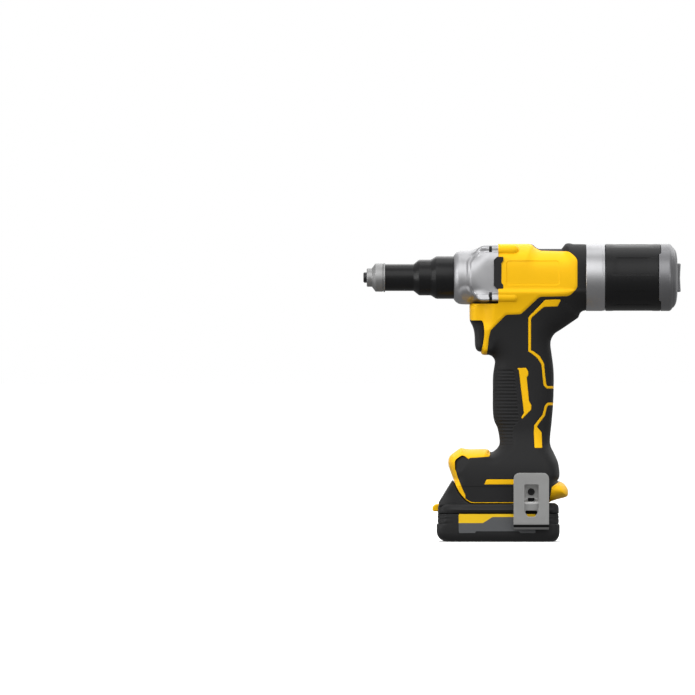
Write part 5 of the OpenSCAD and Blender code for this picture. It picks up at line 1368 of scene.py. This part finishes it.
def pocketed(part, low, high):
    corners = [(x, y, z) for x in (low[0], high[0]) for y in (low[1], high[1]) for z in (low[2], high[2])]
    work, block = mesh("pocket_work", *part), mesh("pocket_block", corners, BLOCK_SIDES)
    cut = work.modifiers.new("pocket", "BOOLEAN")
    cut.operation, cut.solver, cut.object = "DIFFERENCE", "EXACT", block
    shape = evaluated(work)
    points = np.array([v.co for v in shape.vertices]) / MM
    faces = [tuple(f.vertices) for f in shape.polygons]
    for obj in (work, block):
        bpy.data.objects.remove(obj)
    bpy.data.meshes.remove(shape)
    return points, faces


(x0, y0), (x1, y1) = tongue_low[:2] - TONGUE_GAP, tongue_high[:2] + TONGUE_GAP
tongue_hole = np.array([(x0, y0), (x1, y0), (x1, y1), (x0, y1)])
contact_y = CONTACT_PITCH * (np.arange(CONTACTS) - (CONTACTS - 1) / 2)
contact_x = (terminal_low[0] - CONTACT_GAP, RAIL_REAR + 1.0)
contact_slots = [rectangle(*contact_x, y - CONTACT_HALF, y + CONTACT_HALF, r=0.3) for y in contact_y]
neck_low = cover_low[2] + NECK_LOW
neck_part = bar(NECK_HALF, neck_low - NECK_LAP, NECK_TOP + NECK_LAP, [tongue_hole],
                r=0.6, edge=0.2, step=3.0)
rail_part = bar(RAIL_HALF, NECK_TOP, RAIL_TOP, [tongue_hole, *contact_slots],
                r=2.0, edge=0.8, step=0.7)
pocket = (button_low - (BUTTON_FRONT, BUTTON_GAP, BUTTON_GAP),
          button_high + (BUTTON_TRAVEL + BUTTON_GAP, BUTTON_GAP, BUTTON_GAP))
shaft = (tongue_low - (TONGUE_GAP, TONGUE_GAP, BUTTON_TRAVEL + TONGUE_GAP),
         tongue_high + (TONGUE_GAP, TONGUE_GAP, TONGUE_TOP))
cover_parts = [pocketed(pocketed(part, *pocket), *shaft) for part in (cover_part, tower_part, core_part)]
cover_mesh = mesh("pack_cover_moulding", *joined([*cover_parts, neck_part, rail_part]), sharp=30)
place(cover_mesh, black_nylon, "pack", "black_plastic", "pack_cover")

# %% [markdown]
# ## Inside of the foot
# With the battery off, the foot shows the channel that it slides into: two side walls with lips under
# the battery's rail, a ceiling with a strike for the latch, and a wall behind the contacts. They
# belong to the hard case, so they are yellow too. They could be cut from a solid foot; plain slabs
# with small bevels do as well, because the case around them is a shell.

# %% Channel in the foot
CHANNEL_GAP = 0.45
CHANNEL_HALF = 29.5
CHANNEL_FRONT, CHANNEL_REAR = -37.8, 42.4
STRIKE_HALF = 8.4
STOP_GAP = 0.1
CHEEK_LAP = 1.0
BEVEL = 0.4
LIP_LOW, LIP_HIGH, CEILING_LOW, CEILING_HIGH = 36.9, 41.7, 52.6, 54.6


def bevelled(outline, lift, low, high):
    middle = (outline.min(0) + outline.max(0)) / 2
    inner = middle + (outline - middle) * (1 - 2 * BEVEL / np.ptp(outline, axis=0))
    rings = ((inner, low), (outline, low + BEVEL), (outline, high - BEVEL), (inner, high))
    return loft([lift(ring, np.full(len(ring), off)) for ring, off in rings])


stop_x = terminal_high[0] + STOP_GAP
strike_x = tongue_high[0] + CHANNEL_GAP
slope = [(-21.8, LIP_LOW), (-25.6, 38.4), (-30.0, LIP_HIGH)]
wall_outline = np.array(slope + [(CHANNEL_FRONT, CEILING_LOW), (CHANNEL_FRONT, CEILING_HIGH),
                                 (CHANNEL_REAR, CEILING_HIGH), (CHANNEL_REAR, LIP_LOW)])
lip_outline = np.array(slope + [(stop_x, LIP_HIGH), (stop_x, LIP_LOW)])
stop_outline = rectangle(stop_x, CHANNEL_REAR, LIP_LOW, CEILING_HIGH)
ceiling = rectangle(strike_x, CHANNEL_REAR, -CHANNEL_HALF, CHANNEL_HALF)
channel_parts = [bevelled(stop_outline, across(0.0), -CHANNEL_HALF, CHANNEL_HALF),
                 bevelled(ceiling, flat(0.0), CEILING_LOW, CEILING_HIGH)]
for sign in (-1, 1):
    for outline, near in ((wall_outline, RAIL_HALF + CHANNEL_GAP), (lip_outline, NECK_HALF + CHANNEL_GAP)):
        channel_parts.append(bevelled(outline, across(0.0), *sorted((sign * near, sign * CHANNEL_HALF))))
    cheek_y = sorted((sign * STRIKE_HALF, sign * CHANNEL_HALF))
    cheek = rectangle(CHANNEL_FRONT, strike_x + CHEEK_LAP, *cheek_y)
    channel_parts.append(bevelled(cheek, flat(0.0), CEILING_LOW, CEILING_HIGH))
place(mesh("foot_channel_moulding", *joined(channel_parts)), yellow_nylon, "tool", "yellow_shell")

# %% [markdown]
# ## Plate on the battery, release button
# The plate on the battery's side is a two-tone sheet with two short tabs under it. One face with two
# colours would do from afar, but two thin sheets cut along the same line keep their border crisp.
# The release button is a small moulding with a sloping top, drawn from the side like the trigger.

# %% Plate and button
LABEL_STEP = (2.0, 1.5)
BUTTON_EDGE, BUTTON_STEP = 1.2, 0.8
label_low, label_high = box("pack_label")
label_outline = traced([(458.4, 514.2), (459.2, 513.6), (535, 513.6), (535, 532.6), (519.4, 532.6),
                        (518.6, 530.8), (475.6, 530.8), (474.8, 532.6), (458.8, 532.6), (458.4, 532.2)])
label_yellow = traced([(450, 510), (540, 510), (540, 516.6), (492, 516.6), (482.6, 522.6), (450, 522.6)])
label_half = (label_high[1] - label_low[1]) / 2
lift = across((label_low[1] + label_high[1]) / 2)
for name, mat, sign, nodes in (("pack_plate_grey", label_grey, 1.0, ["pack_label"]),
                               ("pack_plate_yellow", label_gold, -1.0, [])):
    sheet = Skin(label_outline.min(0) - 1, label_outline.max(0) + 1, LABEL_STEP)
    shape = lambda p: np.maximum(signed(p, label_outline), -sign * signed(p, label_yellow))
    sheet.cut(lambda p: signed(p, label_outline), 0).cut(lambda p: signed(p, label_yellow), 0)
    sheet = sheet.keep(shape(sheet.middle()) < 0)
    points, faces = thicken(sheet, lift(sheet.p, -label_half), lift(sheet.p, label_half))
    place(mesh(name, points, faces), mat, "pack", "label_grey", *nodes)
button_front, button_rear = button_low[0], button_high[0]
button_foot, button_top = button_low[2], button_high[2]
button_outline = fillet([(button_front, button_foot + 1.2), (button_front, button_top - 2.6),
                         (button_front + 3.2, button_top), (button_rear, button_top),
                         (button_rear, button_foot), (button_front + 1.0, button_foot)],
                        (0.8, 1.2, 1.2, 0.3, 0.3, 0.8))
button_part = plate(button_outline, across(0.0), button_high[1], BUTTON_EDGE, BUTTON_STEP)
button = mesh("release_button_moulding", *button_part)
place(button, yellow_nylon, "button", "yellow_shell", "release_button")

# %% [markdown]
# ## The belt hook
# The hook is one strip of sheet steel, bent twice: a small jog beside the screw and a tight bend at
# the bottom. It is drawn flat, with its windows cut out, and then rolled along the bent line, just
# as it is made.

# %% Belt hook
HOOK_SHEET = 1.8
HOOK_PAD_HALF = 11.0
PAD_ABOVE = 7.0         # sheet above the screw's middle
PACK_CLEAR = 1.2        # from the battery's side to the inner leg
JOG_HIGH, JOG_LOW, JOG_R = 40.0, 36.9, 1.4
BEND_STEPS = 17
WIDE_Z, WIDE_RUN = 24.0, 3.0
SLOPE_STEP = 0.35       # how far apart the sheet's direction is measured
hook_low, hook_high = box("belt_hook")
screw_low, screw_high = box("hook_screw")
hook_mid, hook_half = (hook_low[0] + hook_high[0]) / 2, (hook_high[0] - hook_low[0]) / 2
half_sheet = HOOK_SHEET / 2
pad_y, outer_y = hook_high[1] - half_sheet, hook_low[1] + half_sheet
inner_y = -base_high[1] - PACK_CLEAR - half_sheet
bend_r = (inner_y - outer_y) / 2
bend_z = hook_low[2] + half_sheet + bend_r
pad_top = (screw_low[2] + screw_high[2]) / 2 + PAD_ABOVE
arc = np.linspace(0, math.pi, BEND_STEPS)
legs = [(pad_y, pad_top), (pad_y, JOG_HIGH), (inner_y, JOG_LOW), (inner_y, bend_z + 0.5)]
bent = np.vstack([
    fillet(legs, (0, JOG_R, JOG_R, 0), steps=5, closed=False),
    np.column_stack([(inner_y + outer_y) / 2 + bend_r * np.cos(arc), bend_z - bend_r * np.sin(arc)]),
    [(outer_y, hook_high[2])]])
along = np.concatenate([[0], np.cumsum(np.linalg.norm(np.diff(bent, axis=0), axis=1))])
top_run = along[-1]
down = bent[:, 1].argmin()


def on_bend(run):
    return np.column_stack([np.interp(np.clip(run, 0, top_run), along, bent[:, k]) for k in (0, 1)])


def rolled(p, off):
    run = np.clip(p[:, 1], 0, top_run)
    y, z = on_bend(run).T
    dy, dz = (on_bend(run + SLOPE_STEP) - on_bend(run - SLOPE_STEP)).T
    size = np.hypot(dy, dz)
    return np.column_stack([p[:, 0], y + off * dz / size, z - off * dy / size])


def run_outside(z):
    return top_run - (hook_high[2] - z)


def run_inside(z):
    return np.interp(-z, -bent[:down, 1], along[:down])


def leg_hole(x0, x1, high, low, r):
    return fillet([(x0, run_inside(high)), (x1, run_inside(high)), (x1, run_inside(low)),
                   (x0, run_inside(low))], r, steps=4)


bend_run = along[np.argmin(np.abs(bent[:, 1] - bend_z))]
wide_run = np.interp(-WIDE_Z, [-bent[0, 1], -bend_z], [0, bend_run])
right_edge = [(HOOK_PAD_HALF, 0), (HOOK_PAD_HALF, wide_run - WIDE_RUN), (hook_half, wide_run),
              (hook_half, top_run)]
left_edge = [(-x, run) for x, run in reversed(right_edge)]
hook_outline = fillet(np.array(left_edge[-1:] + right_edge + left_edge[:-1]) + (hook_mid, 0),
                      (5, 5, 1.5, 1.5, 5.6, 5.6, 1.5, 1.5), steps=8)
window_outline = fillet([(x, run_outside(z)) for x, z in (
    (24.6, 54.2), (37.9, 54.2), (37.9, 28.6), (34.4, 23.8), (28.1, 23.8), (24.6, 28.6))],
    (1.3, 1.3, 1.0, 0.6, 0.6, 1.0), steps=5)
leg_notch = leg_hole(28.0, 34.2, high=41.3, low=37.8, r=0.6)
leg_window = leg_hole(25.6, 36.8, high=29.4, low=20.5, r=1.2)
hook_holes = [window_outline, leg_notch, leg_window]
hook_part = plate(hook_outline, rolled, half_sheet, edge=0.3, step=0.9, holes=hook_holes)
place(mesh("belt_hook_sheet", *hook_part, sharp=50), hook_steel, "tool", "hook_steel", "belt_hook")

# %% [markdown]
# ## Dark inserts at the joint
# A dark insert bridges the gearcase and the case on each side, with chamfered corners toward the
# nose and two short lips toward the rear. One flat outline with rolled edges makes both of them.

# %% Joint inserts
INSERT_DEEP, INSERT_HALF = 1.6, 1.55
insert_outline = fillet(traced([
    (493.6, 260), (496.8, 256.9), (503, 256.9), (503, 260.8), (501.2, 263.2), (501.2, 282.8),
    (503, 285.2), (503, 289), (496.8, 289), (493.6, 285.8)]), 0.5, steps=3)
insert_y = box("side_vents")[1][1] - INSERT_DEEP
insert_parts = [plate(insert_outline, across(sign * insert_y), INSERT_HALF, edge=0.35, step=1.0)
                for sign in (-1, 1)]
place(mesh("joint_inserts", *joined(insert_parts)), black_nylon, "tool", "black_plastic", "side_vents")

# %% [markdown]
# ## Light, floor and camera
# A product shot: a white floor that runs into a white surround, a big soft light in front and one
# behind, weaker ones from the top and the ends, and a wide sun overhead. The camera stands far off
# with a long lens, square to the side, as in the photo.

# %% Stage, light and camera
STAGE_HALF, FLOOR_Z = 60.0, -0.0002
CAMERA_AWAY = 14.0
SENSOR_WIDTH = 36.0
CLIP_NEAR, CLIP_FAR = 0.1, 200.0
FRAME_WIDTH = PHOTO_SIDE_PX * PHOTO_SCALE * MM
ZENITH, NADIR = 0.8, 0.30
SKY_RUN = (-0.1, 0.9)
HORIZON = (0.002, 0.006)
SUN_POWER, SUN_ANGLE = 1.4, 70.0
TOOL_MIDDLE = (0.02, 0.0, 0.16)
LIGHTS = (("key_light", (-0.9, -3.0, 2.5), TOOL_MIDDLE, (5.0, 3.2), 95.0),
          ("back_light", (0.9, 3.0, 2.5), TOOL_MIDDLE, (5.0, 3.2), 85.0),
          ("top_light", (0.02, 0.35, 2.4), TOOL_MIDDLE, (2.0, 1.0), 9.0),
          ("side_light", (-1.5, -0.5, 0.5), (-0.02, 0.0, 0.22), (0.4, 1.0), 8.0),
          ("fill_light", (1.2, -1.4, 0.5), TOOL_MIDDLE, (0.8, 0.8), 4.0))


def floor_recipe(at):
    return {"colour": at.noise(3.0).blend((0.975, 0.975, 0.975), (0.995, 0.995, 0.995)),
            "rough": 0.6 + at.noise(8.0) * 0.1}


def softbox(name, at, toward, size, power):
    data = bpy.data.lights.new(name, "AREA")
    data.shape, data.size, data.size_y, data.energy = "RECTANGLE", size[0], size[1], power
    lamp = linked(name, data)
    lamp.location = at
    lamp.rotation_mode = "QUATERNION"
    aim = mathutils.Vector(toward) - mathutils.Vector(at)
    lamp.rotation_quaternion = aim.to_track_quat("-Z", "Y")


floor_mesh = bpy.data.meshes.new("floor")
floor_corners = [(x * STAGE_HALF, y * STAGE_HALF, FLOOR_Z) for x, y in ((-1, -1), (1, -1), (1, 1), (-1, 1))]
floor_mesh.from_pydata(floor_corners, [], [(0, 1, 2, 3)])
floor = linked("floor", floor_mesh)
floor.data.materials.append(material("floor_white", floor_recipe, specular=0.0))
floor.visible_diffuse = floor.visible_glossy = False
world = bpy.data.worlds.new("studio")
scene.world = world
world.use_nodes = True
sky = world.node_tree.nodes["Background"]
sky.inputs["Color"].default_value = (1.0, 1.0, 1.0, 1.0)
look = world.node_tree.nodes.new("ShaderNodeTexCoord").outputs["Generated"]
tilt = Shade(world.node_tree, look).part(2)
dome = NADIR + tilt.ramp(*SKY_RUN) * (ZENITH - NADIR)
strength = 1.0 - (tilt * tilt).ramp(*HORIZON) * (1.0 - dome)
world.node_tree.links.new(strength.socket, sky.inputs["Strength"])
for light in LIGHTS:
    softbox(*light)
sun_data = bpy.data.lights.new("overhead", "SUN")
sun_data.energy = SUN_POWER
sun_data.angle = math.radians(SUN_ANGLE)
sun = linked("overhead", sun_data)
sun.visible_glossy = False
camera_data = bpy.data.cameras.new("camera")
camera = linked("camera", camera_data)
camera_data.sensor_width = SENSOR_WIDTH
camera_data.lens = camera_data.sensor_width * CAMERA_AWAY / FRAME_WIDTH
camera_data.clip_start, camera_data.clip_end = CLIP_NEAR, CLIP_FAR
middle = traced([(PHOTO_SIDE_PX / 2, PHOTO_SIDE_PX / 2)])[0] * MM
camera.location = (middle[0], -CAMERA_AWAY, middle[1])
camera.rotation_euler = (math.pi / 2, 0.0, 0.0)
scene.camera = camera
scene.view_settings.view_transform = "Standard"
print("lights", len(LIGHTS), "and a sun, camera at", CAMERA_AWAY, "m")
